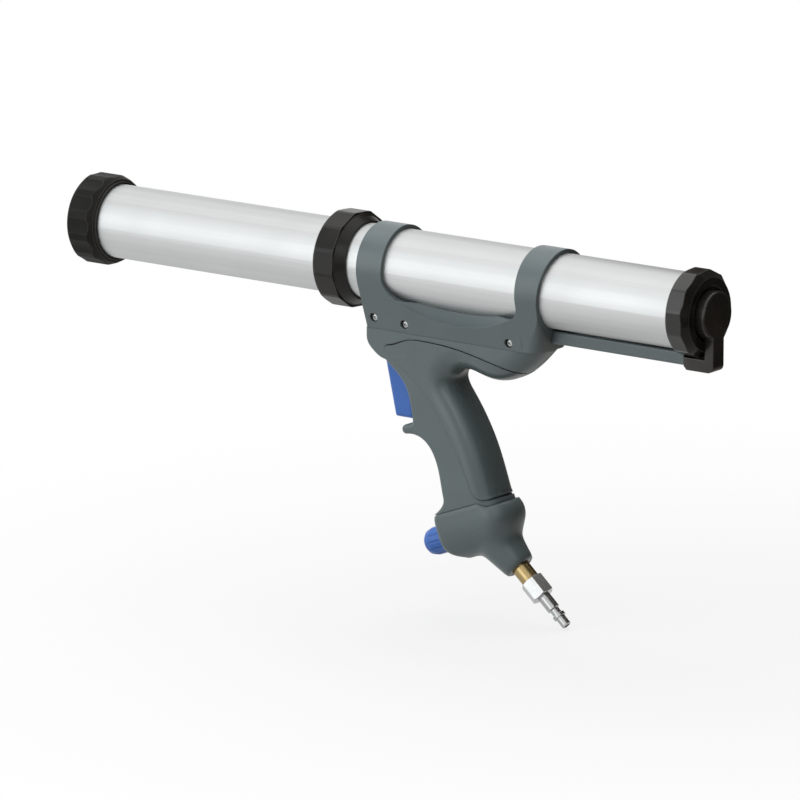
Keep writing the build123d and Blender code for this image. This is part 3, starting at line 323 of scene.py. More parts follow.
def objectPlace(tree, centre=None, turned=(0.0, 0.0, 0.0)):
    place = addNode(tree, "ShaderNodeTexCoord").outputs["Object"]
    if centre is None:
        return place
    mapping = addNode(tree, "ShaderNodeMapping", vector_type="TEXTURE")
    wire(tree, place, mapping.inputs["Vector"])
    mapping.inputs["Location"].default_value = centre
    mapping.inputs["Rotation"].default_value = turned
    return mapping.outputs["Vector"]


def bumpNormal(tree, height, depth, under):
    bump = addNode(tree, "ShaderNodeBump")
    bump.inputs["Distance"].default_value = depth
    bump.inputs["Strength"].default_value = 1.0
    wire(tree, height, bump.inputs["Height"])
    wire(tree, under, bump.inputs["Normal"])
    return bump.outputs["Normal"]


# mouldings: grain, painted shade in seams and holes, edge colour that is partly wear and partly painted
# light, edges a little polished
def mouldedFinish(name, look):
    material, tree, shader = startFinish(name)
    place = objectPlace(tree)
    edge = useGroup(tree, "softEdge", Radius=look["edge"], Gain=look["edgeGain"])
    grain = useGroup(tree, "mouldGrain", place, Size=look["grainSize"])
    hands = useGroup(tree, "handling", place, Scale=look["smudgeScale"])
    seam = useGroup(tree, "seamShade", Reach=look["seamReach"])
    dark = tuple(v * (1.0 - look["mottle"]) for v in look["colour"])
    light = tuple(v * (1.0 + look["mottle"]) for v in look["colour"])
    colour = mixColour(tree, grain.outputs["Mottle"], dark, light)
    # edge colour, partly wear and partly painted light: light edges are painted highlights on top of wear,
    # and the grey cover's dark edge lips are painted seam shade on top of dirt
    wearAndLightEdgeMask = mathNode(tree, "MULTIPLY", edge.outputs["Edge"], look["wearAndLightEdgeShare"])
    colour = mixColour(tree, wearAndLightEdgeMask, colour, look["wearAndLightEdgeColour"])
    dusted = mathNode(tree, "MULTIPLY", hands.outputs["Speck"], look["dust"])
    colour = mixColour(tree, dusted, colour, look["dustColour"])
    # painted shade: the colour turns towards the dark seam shade colour where the occlusion mask finds a
    # groove or a hole
    paintedShade = mathNode(tree, "MULTIPLY", seam.outputs["Shade"], look["seamShadeDepth"])
    colour = mixColour(tree, paintedShade, colour, look["seamShadeColour"])
    wire(tree, colour, shader.inputs["Base Color"])
    rough = rangeNode(tree, hands.outputs["Smudge"], 0.0, 1.0, *look["rough"])
    polish = mathNode(tree, "MULTIPLY", edge.outputs["Edge"], look["edgePolish"])
    wire(tree, mathNode(tree, "SUBTRACT", rough, polish, clamp=True), shader.inputs["Roughness"])
    shader.inputs["Specular IOR Level"].default_value = look["specular"]
    normal = bumpNormal(tree, grain.outputs["Height"], look["grainDepth"], edge.outputs["Normal"])
    wire(tree, normal, shader.inputs["Normal"])
    return material


greyBodyLook = {
    "colour": (0.121, 0.153, 0.160),
    "wearAndLightEdgeColour": (0.20, 0.235, 0.24),
    "seamShadeColour": (0.02, 0.025, 0.027),
    "rough": (0.30, 0.38),
    "specular": 0.42,
    "edge": 0.0010,
    "edgeGain": 2.4,
    "wearAndLightEdgeShare": 0.22,
    "edgePolish": 0.10,
    "grainSize": 1500.0,
    "grainDepth": 0.000035,
    "mottle": 0.05,
    "smudgeScale": 26.0,
    "dust": 0.10,
    "dustColour": (0.42, 0.43, 0.43),
    "seamReach": 0.0028,
    "seamShadeDepth": 0.62,
}
greyCoverLook = dict(
    greyBodyLook,
    colour=(0.109, 0.139, 0.145),
    # dark edge lips: painted seam shade on top of dirt
    wearAndLightEdgeColour=(0.030, 0.035, 0.036),
    rough=(0.25, 0.32),
    specular=0.5,
    edge=0.0006,
    wearAndLightEdgeShare=0.70,
    edgePolish=0.0,
    grainSize=1250.0,
    grainDepth=0.00003,
)
softBaseLook = dict(
    greyBodyLook, rough=(0.29, 0.37), specular=0.37, edge=0.0048, edgeGain=0.6, wearAndLightEdgeShare=0.08
)
blackCapLook = dict(
    greyBodyLook,
    colour=(0.0100, 0.0092, 0.0086),
    wearAndLightEdgeColour=(0.165, 0.160, 0.150),
    seamShadeColour=(0.004, 0.004, 0.004),
    rough=(0.46, 0.56),
    specular=0.11,
    edge=0.0017,
    edgeGain=7.0,
    wearAndLightEdgeShare=0.7,
    edgePolish=0.16,
    grainSize=1100.0,
    mottle=0.35,
    dust=0.22,
)
blackRingLook = dict(
    blackCapLook,
    colour=(0.0135, 0.0120, 0.0108),
    rough=(0.26, 0.33),
    specular=0.22,
    edge=0.0013,
    grainSize=1800.0,
    grainDepth=0.000012,
    mottle=0.40,
    dust=0.16,
)
rearLook = dict(
    blackRingLook,
    colour=(0.026, 0.023, 0.019),
    rough=(0.22, 0.30),
    specular=0.40,
)
glossRingLook = dict(rearLook, colour=(0.012, 0.0108, 0.0095), rough=(0.12, 0.18), specular=0.48)
blueLook = dict(
    greyBodyLook,
    colour=(0.048, 0.156, 0.53),
    wearAndLightEdgeColour=(0.13, 0.25, 0.62),
    seamShadeColour=(0.008, 0.02, 0.08),
    rough=(0.36, 0.45),
    edge=0.0007,
    grainSize=1700.0,
    dust=0.05,
)
nylonLook = dict(
    greyBodyLook,
    colour=(0.026, 0.026, 0.028),
    wearAndLightEdgeColour=(0.06, 0.06, 0.062),
    seamShadeColour=(0.006, 0.006, 0.006),
    rough=(0.28, 0.36),
    edge=0.0004,
    grainDepth=0.000012,
)
rubberLook = dict(
    greyBodyLook,
    colour=(0.017, 0.017, 0.017),
    wearAndLightEdgeColour=(0.035, 0.035, 0.035),
    seamShadeColour=(0.004, 0.004, 0.004),
    rough=(0.62, 0.74),
    specular=0.3,
    edge=0.0003,
    grainSize=2200.0,
    dust=0.2,
)


# drawn tube: satin anodised, with long fine lines
def tubeFinish(name, look):
    material, tree, shader = startFinish(name)
    place = objectPlace(tree)
    edge = useGroup(tree, "softEdge", Radius=look["edge"], Gain=look["edgeGain"])
    lines = useGroup(tree, "drawLines", place, Along=look["along"], Across=look["across"])
    hands = useGroup(tree, "handling", place, Scale=look["smudgeScale"])
    colour = mixColour(tree, lines.outputs["Streak"], look["dark"], look["light"])
    cloudy = mathNode(tree, "MULTIPLY", hands.outputs["Smudge"], look["cloud"])
    colour = mixColour(tree, cloudy, colour, look["clouded"])
    # lighter edges: partly wear, partly painted highlight
    wearAndLightEdgeMask = mathNode(tree, "MULTIPLY", edge.outputs["Edge"], look["wearAndLightEdgeShare"])
    colour = mixColour(tree, wearAndLightEdgeMask, colour, look["wearAndLightEdgeColour"])
    wire(tree, colour, shader.inputs["Base Color"])
    shader.inputs["Metallic"].default_value = 1.0
    rough = rangeNode(tree, lines.outputs["Streak"], 0.0, 1.0, *look["rough"])
    smear = mathNode(tree, "MULTIPLY", hands.outputs["Smudge"], look["smear"])
    wire(tree, mathNode(tree, "ADD", rough, smear), shader.inputs["Roughness"])
    normal = bumpNormal(tree, lines.outputs["Height"], look["depth"], edge.outputs["Normal"])
    wire(tree, normal, shader.inputs["Normal"])
    return material


tubeLook = {
    "dark": (0.525, 0.531, 0.527),
    "light": (0.590, 0.604, 0.607),
    "clouded": (0.510, 0.518, 0.518),
    "cloud": 0.25,
    "wearAndLightEdgeColour": (0.86, 0.87, 0.88),
    "rough": (0.47, 0.53),
    "smear": 0.05,
    "edge": 0.0004,
    "edgeGain": 2.5,
    "wearAndLightEdgeShare": 0.6,
    "along": 3.0,
    "across": 1500.0,
    "depth": 0.000006,
    "smudgeScale": 14.0,
}


# turned and drawn metal: rings round X, or round the axis that a look gives
def turnedFinish(name, look):
    material, tree, shader = startFinish(name)
    place = objectPlace(tree, look["centre"], look["turned"])
    edge = useGroup(tree, "softEdge", Radius=look["edge"], Gain=look["edgeGain"])
    rings = useGroup(tree, "turnLines", place, Pitch=look["pitch"])
    hands = useGroup(tree, "handling", place, Scale=look["smudgeScale"])
    colour = mixColour(tree, rings.outputs["Streak"], look["dark"], look["light"])
    tarnish = mathNode(tree, "MULTIPLY", hands.outputs["Smudge"], look["tarnish"])
    colour = mixColour(tree, tarnish, colour, look["tarnished"])
    shine = mathNode(tree, "MULTIPLY", edge.outputs["Edge"], look["wearAndLightEdgeShare"])
    colour = mixColour(tree, shine, colour, look["wearAndLightEdgeColour"])
    wire(tree, colour, shader.inputs["Base Color"])
    shader.inputs["Metallic"].default_value = 1.0
    rough = rangeNode(tree, hands.outputs["Smudge"], 0.0, 1.0, *look["rough"])
    wire(tree, rough, shader.inputs["Roughness"])
    normal = bumpNormal(tree, rings.outputs["Height"], look["depth"], edge.outputs["Normal"])
    wire(tree, normal, shader.inputs["Normal"])
    return material


inletWay = (-0.7431, 0.0, -0.6691)  # the inlet runs down to the rear
inletTurn = (0.0, math.atan2(-inletWay[2], inletWay[0]), 0.0)
inletMouth = (-0.386, 0.0, -0.205)
brassLook = {
    "dark": (0.34, 0.240, 0.100),
    "light": (0.45, 0.355, 0.190),
    "tarnish": 0.35,
    "tarnished": (0.26, 0.175, 0.065),
    "wearAndLightEdgeColour": (0.62, 0.50, 0.28),
    "rough": (0.22, 0.30),
    "edge": 0.0003,
    "edgeGain": 2.5,
    "wearAndLightEdgeShare": 0.6,
    "pitch": 3200.0,
    "depth": 0.0000012,
    "smudgeScale": 120.0,
    "centre": inletMouth,
    "turned": inletTurn,
}
platedLook = dict(
    brassLook,
    dark=(0.385, 0.390, 0.388),
    light=(0.440, 0.446, 0.446),
    tarnish=0.25,
    tarnished=(0.32, 0.32, 0.315),
    wearAndLightEdgeColour=(0.60, 0.60, 0.59),
    rough=(0.17, 0.25),
    edge=0.0005,
    pitch=2600.0,
    depth=0.0000008,
)
steelLook = dict(
    brassLook,
    dark=(0.46, 0.47, 0.475),
    light=(0.60, 0.605, 0.61),
    tarnished=(0.36, 0.365, 0.37),
    wearAndLightEdgeColour=(0.72, 0.73, 0.73),
    rough=(0.24, 0.34),
    depth=0.000015,
    centre=None,
    turned=None,
)
turnedAluminiumLook = dict(
    steelLook,
    dark=(0.43, 0.435, 0.44),
    light=(0.52, 0.525, 0.53),
    tarnished=(0.38, 0.385, 0.39),
    wearAndLightEdgeColour=(0.66, 0.66, 0.67),
    rough=(0.34, 0.44),
    pitch=1800.0,
)
zincLook = dict(
    steelLook,
    dark=(0.36, 0.37, 0.36),
    light=(0.48, 0.49, 0.48),
    tarnished=(0.28, 0.28, 0.265),
    wearAndLightEdgeColour=(0.80, 0.80, 0.79),
    rough=(0.22, 0.34),
    smudgeScale=300.0,
    edge=0.0002,
)
springLook = dict(
    steelLook,
    dark=(0.34, 0.345, 0.35),
    light=(0.44, 0.445, 0.45),
    tarnished=(0.26, 0.24, 0.22),
    smudgeScale=260.0,
    edge=0.0002,
)

finishes = {
    "tube": tubeFinish("tubeSatin", tubeLook),
    "turned_aluminium": turnedFinish("aluminiumTurned", turnedAluminiumLook),
    "black_cap": mouldedFinish("capMatte", blackCapLook),
    "black_ring": mouldedFinish("ringSatin", blackRingLook),
    "grey_body": mouldedFinish("bodyGrain", greyBodyLook),
    "grey_cover": mouldedFinish("coverGrain", greyCoverLook),
    "blue": mouldedFinish("blueSatin", blueLook),
    "seal": mouldedFinish("sealRubber", rubberLook),
    "brass": turnedFinish("brassTurned", brassLook),
    "bright_steel": turnedFinish("steelGround", steelLook),
    "zinc_steel": turnedFinish("steelZinc", zincLook),
    "spring_steel": turnedFinish("springWire", springLook),
    "plated_steel": turnedFinish("nickelPlate", platedLook),
    "air_pipe": mouldedFinish("pipeNylon", nylonLook),
}
for node in nodes.values():
    slotName = node.material_slots[0].material.name.split(".")[0]
    node.material_slots[0].material = finishes[slotName]
ownFinishes = {
    "base_housing": mouldedFinish("baseGrain", softBaseLook),
    "rear_ring": mouldedFinish("rearGloss", glossRingLook),
    "rear_end_cap": mouldedFinish("rearSatin", rearLook),
}
for nodeName, material in ownFinishes.items():
    nodes[nodeName].material_slots[0].material = material
print("finishes given to", len(nodes), "nodes")


# geometry node helpers
def modelTree(name, inputs):
    tree = bpy.data.node_groups.new(name, "GeometryNodeTree")
    tree.interface.new_socket("Geometry", in_out="INPUT", socket_type="NodeSocketGeometry")
    ids = {}
    for label, kind, value in inputs:
        socket = tree.interface.new_socket(label, in_out="INPUT", socket_type=kind)
        if value is not None:
            socket.default_value = value
        ids[label] = socket.identifier
    tree.interface.new_socket("Geometry", in_out="OUTPUT", socket_type="NodeSocketGeometry")
    return tree, addNode(tree, "NodeGroupInput"), addNode(tree, "NodeGroupOutput"), ids


def endTree(tree, geometry, material, outside):
    real = addNode(tree, "GeometryNodeRealizeInstances")
    wire(tree, geometry, real.inputs["Geometry"])
    finish = addNode(tree, "GeometryNodeSetMaterial")
    finish.inputs["Material"].default_value = material
    wire(tree, real.outputs["Geometry"], finish.inputs["Geometry"])
    wire(tree, finish.outputs["Geometry"], outside.inputs["Geometry"])


def growPiece(name, base, tree, ids, values, material):
    holder = bpy.data.objects.new(name, base)
    scene.collection.objects.link(holder)
    modifier = holder.modifiers.new("grow", "NODES")
    modifier.node_group = tree
    for label, value in values.items():
        modifier[ids[label]] = value
    bpy.context.view_layer.update()
    ready = holder.evaluated_get(bpy.context.evaluated_depsgraph_get())
    mesh = bpy.data.meshes.new_from_object(ready)
    holder.modifiers.remove(modifier)
    holder.data = mesh
    mesh.name = name
    if not mesh.materials:
        mesh.materials.append(material)
    weld = 1e-7
    tidy = bmesh.new()
    tidy.from_mesh(mesh)
    bmesh.ops.remove_doubles(tidy, verts=tidy.verts, dist=weld)
    bmesh.ops.recalc_face_normals(tidy, faces=tidy.faces)
    tidy.to_mesh(mesh)
    tidy.free()
    return holder


# base housing: the CAD leaves a crease where the inlet neck meets the bowl, and here it flows
neckLook = {
    "way": inletWay,
    "mouth": inletMouth,
    "along": (-0.031, -0.014),  # the crease lies in this stretch before the mouth
    "aside": (0.0125, 0.0190),  # and this far from the neck's axis
    "bend": (0.30, 1.45),  # with this angle between its faces
    "reach": 0.0115,  # how far the blend runs out over the skin
    "finest": 0.0012,  # longer edges there are split
    "splits": 5,
    "passes": 60,
    "rate": 0.8,
    "fade": 1.5,
    "weld": 2e-6,
    "sharp": 32.0,
}


def within(value, span):
    return span[0] < value < span[1]


def blendNeck(nodeName, look, material):
    way = Vector(look["way"]).normalized()
    mouth = Vector(look["mouth"])
    mesh = nodes[nodeName].data.copy()
    mesh.name = "softBase"
    body = bmesh.new()
    body.from_mesh(mesh)
    bmesh.ops.remove_doubles(body, verts=body.verts, dist=look["weld"])

    def isCrease(edge):
        if len(edge.link_faces) != 2 or edge.is_convex:
            return False
        off = (edge.verts[0].co + edge.verts[1].co) / 2 - mouth
        along = off.dot(way)
        aside = (off - way * along).length
        if not within(along, look["along"]) or not within(aside, look["aside"]):
            return False
        return within(edge.calc_face_angle(), look["bend"])

    def spread():
        # walk out from the crease over the skin, so the bores are left alone
        far = {}
        front = []
        margin = 1e-9
        for edge in body.edges:  # in the mesh's order, so that each run is the same
            if edge in creases:
                for vertex in edge.verts:
                    far[vertex] = 0.0
                    front.append(vertex)
        while front:
            following = []
            for vertex in front:
                for edge in vertex.link_edges:
                    other = edge.other_vert(vertex)
                    reached = far[vertex] + edge.calc_length()
                    if reached < look["reach"] and reached < far.get(other, math.inf) - margin:
                        far[other] = reached
                        following.append(other)
            front = following
        return far

    creases = {edge for edge in body.edges if isCrease(edge)}
    print("neck crease edges", len(creases))
    for step in range(look["splits"]):
        far = spread()
        touched = [edge for edge in body.edges if edge.verts[0] in far or edge.verts[1] in far]
        long = [edge for edge in touched if edge.calc_length() > look["finest"]]
        if not long:
            break
        bmesh.ops.subdivide_edges(body, edges=long, cuts=1)
        bmesh.ops.triangulate(body, faces=[face for face in body.faces if len(face.verts) > 3])
        creases = {edge for edge in body.edges if isCrease(edge)}
    far = spread()
    shares = {vertex: (1.0 - distance / look["reach"]) ** look["fade"] for vertex, distance in far.items()}
    for step in range(look["passes"]):
        body.normal_update()
        moved = {}
        for vertex, share in shares.items():
            middle = Vector()
            for edge in vertex.link_edges:
                middle += edge.other_vert(vertex).co
            off = middle / len(vertex.link_edges) - vertex.co
            moved[vertex] = vertex.co + vertex.normal * (off.dot(vertex.normal) * look["rate"] * share)
        for vertex, spot in moved.items():
            vertex.co = spot
    body.to_mesh(mesh)
    body.free()
    mesh.materials.clear()
    mesh.materials.append(material)
    mesh.shade_smooth()
    mesh.set_sharp_from_angle(angle=math.radians(look["sharp"]))
    piece = bpy.data.objects.new("softBase", mesh)
    scene.collection.objects.link(piece)
    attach(piece, "tool")
    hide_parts(nodeName)
    return piece


softBase = blendNeck("base_housing", neckLook, nodes["base_housing"].material_slots[0].material)
print("neck blended,", len(softBase.data.polygons), "faces")


# cradle screws: domed heads with a cross recess, sunk in the flanks
screwLook = {
    "places": [
        (-0.2722, 0.01820, -0.0351),
        (-0.2987, 0.01771, -0.0369),
        (-0.3894, 0.01738, -0.0381),
    ],
    "headRadius": 0.00315,
    "headHeight": 0.0022,
    "domeSteps": 6,
    "domeReach": 0.80,  # shares of the head's radius and height
    "domeDrop": 0.22,
    "rim": [(0.92, 0.66), (1.0, 0.44), (1.0, 0.06), (0.96, 0.0)],
    "shankRadius": 0.00155,
    "shankLength": 0.0098,
    "tip": (0.6, 0.94),  # shares of the shank's radius and length
    "sides": 40,
    "recessReach": 0.00175,
    "recessWidth": 0.00050,
    "recessDepth": 0.0012,
    "recessTop": 1.3,  # share of the head's height
    "recessTaper": 0.45,
    "twist": 1.2,
    "seed": 5,
    "sharp": 28.0,
}


def makeScrewBlank(look):
    sides = look["sides"]
    head = look["headRadius"]
    top = look["headHeight"]
    shank = look["shankRadius"]
    length = look["shankLength"]
    tipAcross, tipStart = look["tip"]
    profile = [(0.0, top)]
    for step in range(1, look["domeSteps"] + 1):
        share = step / look["domeSteps"]
        profile.append((head * look["domeReach"] * share, top - look["domeDrop"] * top * share ** 2))
    profile += [(head * across, top * up) for across, up in look["rim"]]
    profile += [(shank, 0.0), (shank, -length * tipStart), (shank * tipAcross, -length), (0.0, -length)]
    blank = bmesh.new()
    previous = None
    for radius, height in profile:
        row = []
        for index in range(sides if radius > 0.0 else 1):
            angle = 2 * math.pi * index / sides
            row.append(blank.verts.new((radius * math.cos(angle), radius * math.sin(angle), height)))
        if previous is not None:
            for index in range(sides):
                after = (index + 1) % sides
                corners = [previous[index % len(previous)], row[index % len(row)]]
                corners += [row[after % len(row)], previous[after % len(previous)]]
                blank.faces.new(list(dict.fromkeys(corners)))  # a row of one point gives triangles
        previous = row
    bmesh.ops.recalc_face_normals(blank, faces=blank.faces)
    mesh = bpy.data.meshes.new("screwBlank")
    blank.to_mesh(mesh)
    blank.free()
    return mesh


def makeRecessTool(look):
    wedge = bmesh.new()
    wide = look["recessWidth"]
    reach = look["recessReach"]
    floor = look["headHeight"] - look["recessDepth"]
    outline = []
    for quarter in range(4):
        cosine = math.cos(quarter * math.pi / 2)
        sine = math.sin(quarter * math.pi / 2)
        for x, y in ((wide, wide), (reach, wide), (reach, -wide)):
            outline.append((x * cosine + y * sine, x * sine - y * cosine))
    above = look["headHeight"] * look["recessTop"]
    taper = look["recessTaper"]
    upper = [wedge.verts.new((x, y, above)) for x, y in outline]
    lower = [wedge.verts.new((x * taper, y * taper, floor)) for x, y in outline]
    count = len(outline)
    wedge.faces.new(upper)
    wedge.faces.new(list(reversed(lower)))
    for index in range(count):
        after = (index + 1) % count
        wedge.faces.new([upper[index], lower[index], lower[after], upper[after]])
    bmesh.ops.recalc_face_normals(wedge, faces=wedge.faces)
    mesh = bpy.data.meshes.new("recessTool")
    wedge.to_mesh(mesh)
    wedge.free()
    return mesh


def makeScrews(look, material):
    blank = bpy.data.objects.new("screwBlank", makeScrewBlank(look))
    tool = bpy.data.objects.new("recessTool", makeRecessTool(look))
    for thing in (blank, tool):
        scene.collection.objects.link(thing)
    tree, inside, outside, ids = modelTree(
        "screwRows",
        [
            ("Blank", objectSocket, None),
            ("Tool", objectSocket, None),
            ("Twist", numberSocket, look["twist"]),
            ("Seed", wholeSocket, look["seed"]),
        ],
    )
    blankInfo = addNode(tree, "GeometryNodeObjectInfo")
    toolInfo = addNode(tree, "GeometryNodeObjectInfo")
    wire(tree, inside.outputs["Blank"], blankInfo.inputs["Object"])
    wire(tree, inside.outputs["Tool"], toolInfo.inputs["Object"])
    carve = addNode(tree, "GeometryNodeMeshBoolean", operation="DIFFERENCE")
    wire(tree, blankInfo.outputs["Geometry"], carve.inputs["Mesh 1"])
    wire(tree, toolInfo.outputs["Geometry"], carve.inputs["Mesh 2"])
    outward = addNode(tree, "GeometryNodeInputNamedAttribute", data_type="FLOAT_VECTOR")
    outward.inputs["Name"].default_value = "outward"
    align = addNode(tree, "FunctionNodeAlignRotationToVector", axis="Z")
    wire(tree, outward.outputs["Attribute"], align.inputs["Vector"])
    chance = addNode(tree, "FunctionNodeRandomValue", data_type="FLOAT")
    chance.inputs[2].default_value = 0.0  # sockets 2 and 3 are the least and the most of a float
    wire(tree, inside.outputs["Twist"], chance.inputs[3])
    wire(tree, inside.outputs["Seed"], chance.inputs["Seed"])
    spin = addNode(tree, "ShaderNodeCombineXYZ")
    wire(tree, chance.outputs[1], spin.inputs["Z"])
    place = addNode(tree, "GeometryNodeInstanceOnPoints")
    wire(tree, inside.outputs["Geometry"], place.inputs["Points"])
    wire(tree, carve.outputs["Mesh"], place.inputs["Instance"])
    wire(tree, align.outputs["Rotation"], place.inputs["Rotation"])
    twist = addNode(tree, "GeometryNodeRotateInstances")
    wire(tree, place.outputs["Instances"], twist.inputs["Instances"])
    wire(tree, spin.outputs["Vector"], twist.inputs["Rotation"])
    endTree(tree, twist.outputs["Instances"], material, outside)
    base = bpy.data.meshes.new("screwPlaces")
    spots = []
    facing = []
    for side in (1, -1):
        for x, y, z in look["places"]:
            spots.append((x, side * y, z))
            facing += [0.0, float(side), 0.0]
    base.from_pydata(spots, [], [])
    base.attributes.new("outward", "FLOAT_VECTOR", "POINT").data.foreach_set("vector", facing)
    screws = growPiece("cradleScrews", base, tree, ids, {"Blank": blank, "Tool": tool}, material)
    for thing in (blank, tool):
        bpy.data.objects.remove(thing)
    screws.data.shade_smooth()
    screws.data.set_sharp_from_angle(angle=math.radians(look["sharp"]))
    return screws


cradleScrews = makeScrews(screwLook, finishes["zinc_steel"])
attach(cradleScrews, "tool")
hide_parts("cradle_screws")
print("cradle screws made,", len(cradleScrews.data.polygons), "faces")


# coils: springs and the tube's thread are wires wound round an axis
def makeCoil(name, look, material):
    tree, inside, outside, ids = modelTree(
        name + "Tree",
        [
            ("Turns", numberSocket, look["turns"]),
            ("Radius", numberSocket, look["radius"]),
            ("Length", numberSocket, look["length"]),
            ("Wire", numberSocket, look["wire"]),
            ("Steps", wholeSocket, look["steps"]),
            ("Sides", wholeSocket, look["sides"]),
        ],
    )
    wind = addNode(tree, "GeometryNodeCurveSpiral")
    for label, socket in (("Turns", "Rotations"), ("Radius", "Start Radius"), ("Radius", "End Radius")):
        wire(tree, inside.outputs[label], wind.inputs[socket])
    wire(tree, inside.outputs["Length"], wind.inputs["Height"])
    wire(tree, inside.outputs["Steps"], wind.inputs["Resolution"])
    ring = addNode(tree, "GeometryNodeCurvePrimitiveCircle", mode="RADIUS")
    wire(tree, inside.outputs["Wire"], ring.inputs["Radius"])
    wire(tree, inside.outputs["Sides"], ring.inputs["Resolution"])
    sweep = addNode(tree, "GeometryNodeCurveToMesh")
    sweep.inputs["Fill Caps"].default_value = True
    wire(tree, wind.outputs["Curve"], sweep.inputs["Curve"])
    wire(tree, ring.outputs["Curve"], sweep.inputs["Profile Curve"])
    endTree(tree, sweep.outputs["Mesh"], material, outside)
    base = bpy.data.meshes.new(name + "Start")
    coil = growPiece(name, base, tree, ids, {}, material)
    stand = Vector(look["way"]).to_track_quat("Z", "Y").to_matrix().to_4x4()
    coil.data.transform(Matrix.Translation(Vector(look["start"])) @ stand)
    coil.data.shade_smooth()
    return coil


def spanAlong(nodeName, way):
    shares = [vertex.co.dot(way) for vertex in nodes[nodeName].data.vertices]
    return min(shares), max(shares)


def fitSpring(name, nodeName, look):
    way = Vector(look["way"]).normalized()
    centre = Vector(look["centre"])
    low, high = spanAlong(nodeName, way)
    inset = look["wire"] + look["gap"]
    coilLook = dict(
        look,
        radius=look["outer"] - look["wire"] - look["play"],
        length=high - low - 2 * inset,
        start=centre + way * (low + inset - centre.dot(way)),
        way=way,
    )
    spring = makeCoil(name, coilLook, finishes["spring_steel"])
    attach(spring, "tool")
    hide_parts(nodeName)
    return spring, way * low


valveLow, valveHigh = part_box("valve_spring")
valveLook = {
    "centre": (valveLow + valveHigh) / 2,
    "way": (-1, 0, 0),
    "outer": (valveHigh.z - valveLow.z) / 2,
    "wire": 0.0004,
    "turns": 6.0,
    "gap": 0.0001,  # at each end of the sleeve
    "play": 0.00005,  # inside the sleeve's outer face
    "steps": 36,
    "sides": 10,
}
knobWay = (0.9336, 0.0, -0.3584)
regulatorLook = dict(
    valveLook,
    centre=(-0.356666, 0.0, -0.180065),
    way=knobWay,
    outer=0.008,
    wire=0.0008,
    turns=4.0,
)
valveSpring = fitSpring("valveCoil", "valve_spring", valveLook)[0]
regulatorSpring, regulatorStart = fitSpring("regulatorCoil", "regulator_spring", regulatorLook)
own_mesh(valveSpring)
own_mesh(regulatorSpring)
threadLook = {
    "turns": 5.0,
    "radius": 0.02702,
    "length": 0.0145,
    "wire": 0.0001,
    "steps": 90,
    "sides": 6,
    "start": (-0.0075, 0.0, 0.0),
    "way": (-1, 0, 0),
}
tubeThread = makeCoil("tubeThread", threadLook, finishes["tube"])
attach(tubeThread, "tool")
print("springs and thread wound")


# floor, pale, turning to plain white away from the tool
floorLook = {
    "colour": (0.74, 0.74, 0.735),
    "rough": 0.9,
    "specular": 0.1,
    "cloudScale": 3.0,
    "cloudShade": 0.985,
    "half": 4.0,
    "gap": 0.0004,
    "centre": (-0.42, -0.05),
    "near": 0.16,
    "far": 0.62,
    "lift": 0.76,  # share of plain white by the tool
    "bounce": (0.33, 0.31, 0.28),
    "dim": (0.24, 0.215, 0.185),
    "dimFrom": (-0.46, -0.14),
    "dimTo": (-0.62, -0.32),
}


def seenPlainly(tree):
    ray = addNode(tree, "ShaderNodeLightPath")
    seen = mathNode(tree, "MAXIMUM", ray.outputs["Is Camera Ray"], ray.outputs["Is Glossy Ray"])
    return mathNode(tree, "MAXIMUM", seen, ray.outputs["Is Transmission Ray"])


def makeFloor(look):
    level = cadBox[0][2] - look["gap"]
    half = look["half"]
    cx, cy = look["centre"]
    mesh = bpy.data.meshes.new("floor")
    corners = [(cx + x * half, cy + y * half, level) for x, y in ((-1, -1), (1, -1), (1, 1), (-1, 1))]
    mesh.from_pydata(corners, [], [(0, 1, 2, 3)])
    floor = bpy.data.objects.new("floor", mesh)
    scene.collection.objects.link(floor)
    material, tree, shader = startFinish("floorPale")
    place = objectPlace(tree, (cx, cy, level))
    distance = addNode(tree, "ShaderNodeVectorMath", operation="LENGTH")
    wire(tree, place, distance.inputs[0])
    fade = rangeNode(tree, distance.outputs["Value"], look["near"], look["far"], look["lift"], 1.0)
    cloud = addNode(tree, "ShaderNodeTexNoise")
    cloud.inputs["Scale"].default_value = look["cloudScale"]
    wire(tree, place, cloud.inputs["Vector"])
    shaded = tuple(v * look["cloudShade"] for v in look["colour"])
    tone = mixColour(tree, cloud.outputs[0], shaded, look["colour"])
    ray = addNode(tree, "ShaderNodeLightPath")
    tone = mixColour(tree, ray.outputs["Is Diffuse Ray"], tone, look["bounce"])  # keeps the shaded sides dark
    wire(tree, tone, shader.inputs["Base Color"])
    shader.inputs["Roughness"].default_value = look["rough"]
    shader.inputs["Specular IOR Level"].default_value = look["specular"]
    white = addNode(tree, "ShaderNodeEmission")
    white.inputs["Strength"].default_value = 1.0
    across = addNode(tree, "ShaderNodeSeparateXYZ")
    wire(tree, addNode(tree, "ShaderNodeTexCoord").outputs["Object"], across.inputs[0])
    right = rangeNode(tree, across.outputs["X"], look["dimTo"][0], look["dimFrom"][0], 1.0, 0.0)
    back = rangeNode(tree, across.outputs["Y"], look["dimTo"][1], look["dimFrom"][1], 1.0, 0.0)
    behind = mathNode(tree, "MAXIMUM", right, back)
    dimmed = mathNode(tree, "MULTIPLY", behind, ray.outputs["Is Glossy Ray"])
    wire(tree, mixColour(tree, dimmed, (1.0, 1.0, 1.0), look["dim"]), white.inputs["Color"])
    mix = addNode(tree, "ShaderNodeMixShader")
    wire(tree, mathNode(tree, "MULTIPLY", fade, seenPlainly(tree)), mix.inputs[0])
    wire(tree, shader.outputs[0], mix.inputs[1])
    wire(tree, white.outputs[0], mix.inputs[2])
    wire(tree, mix.outputs[0], tree.nodes["Material Output"].inputs["Surface"])
    mesh.materials.append(material)


makeFloor(floorLook)


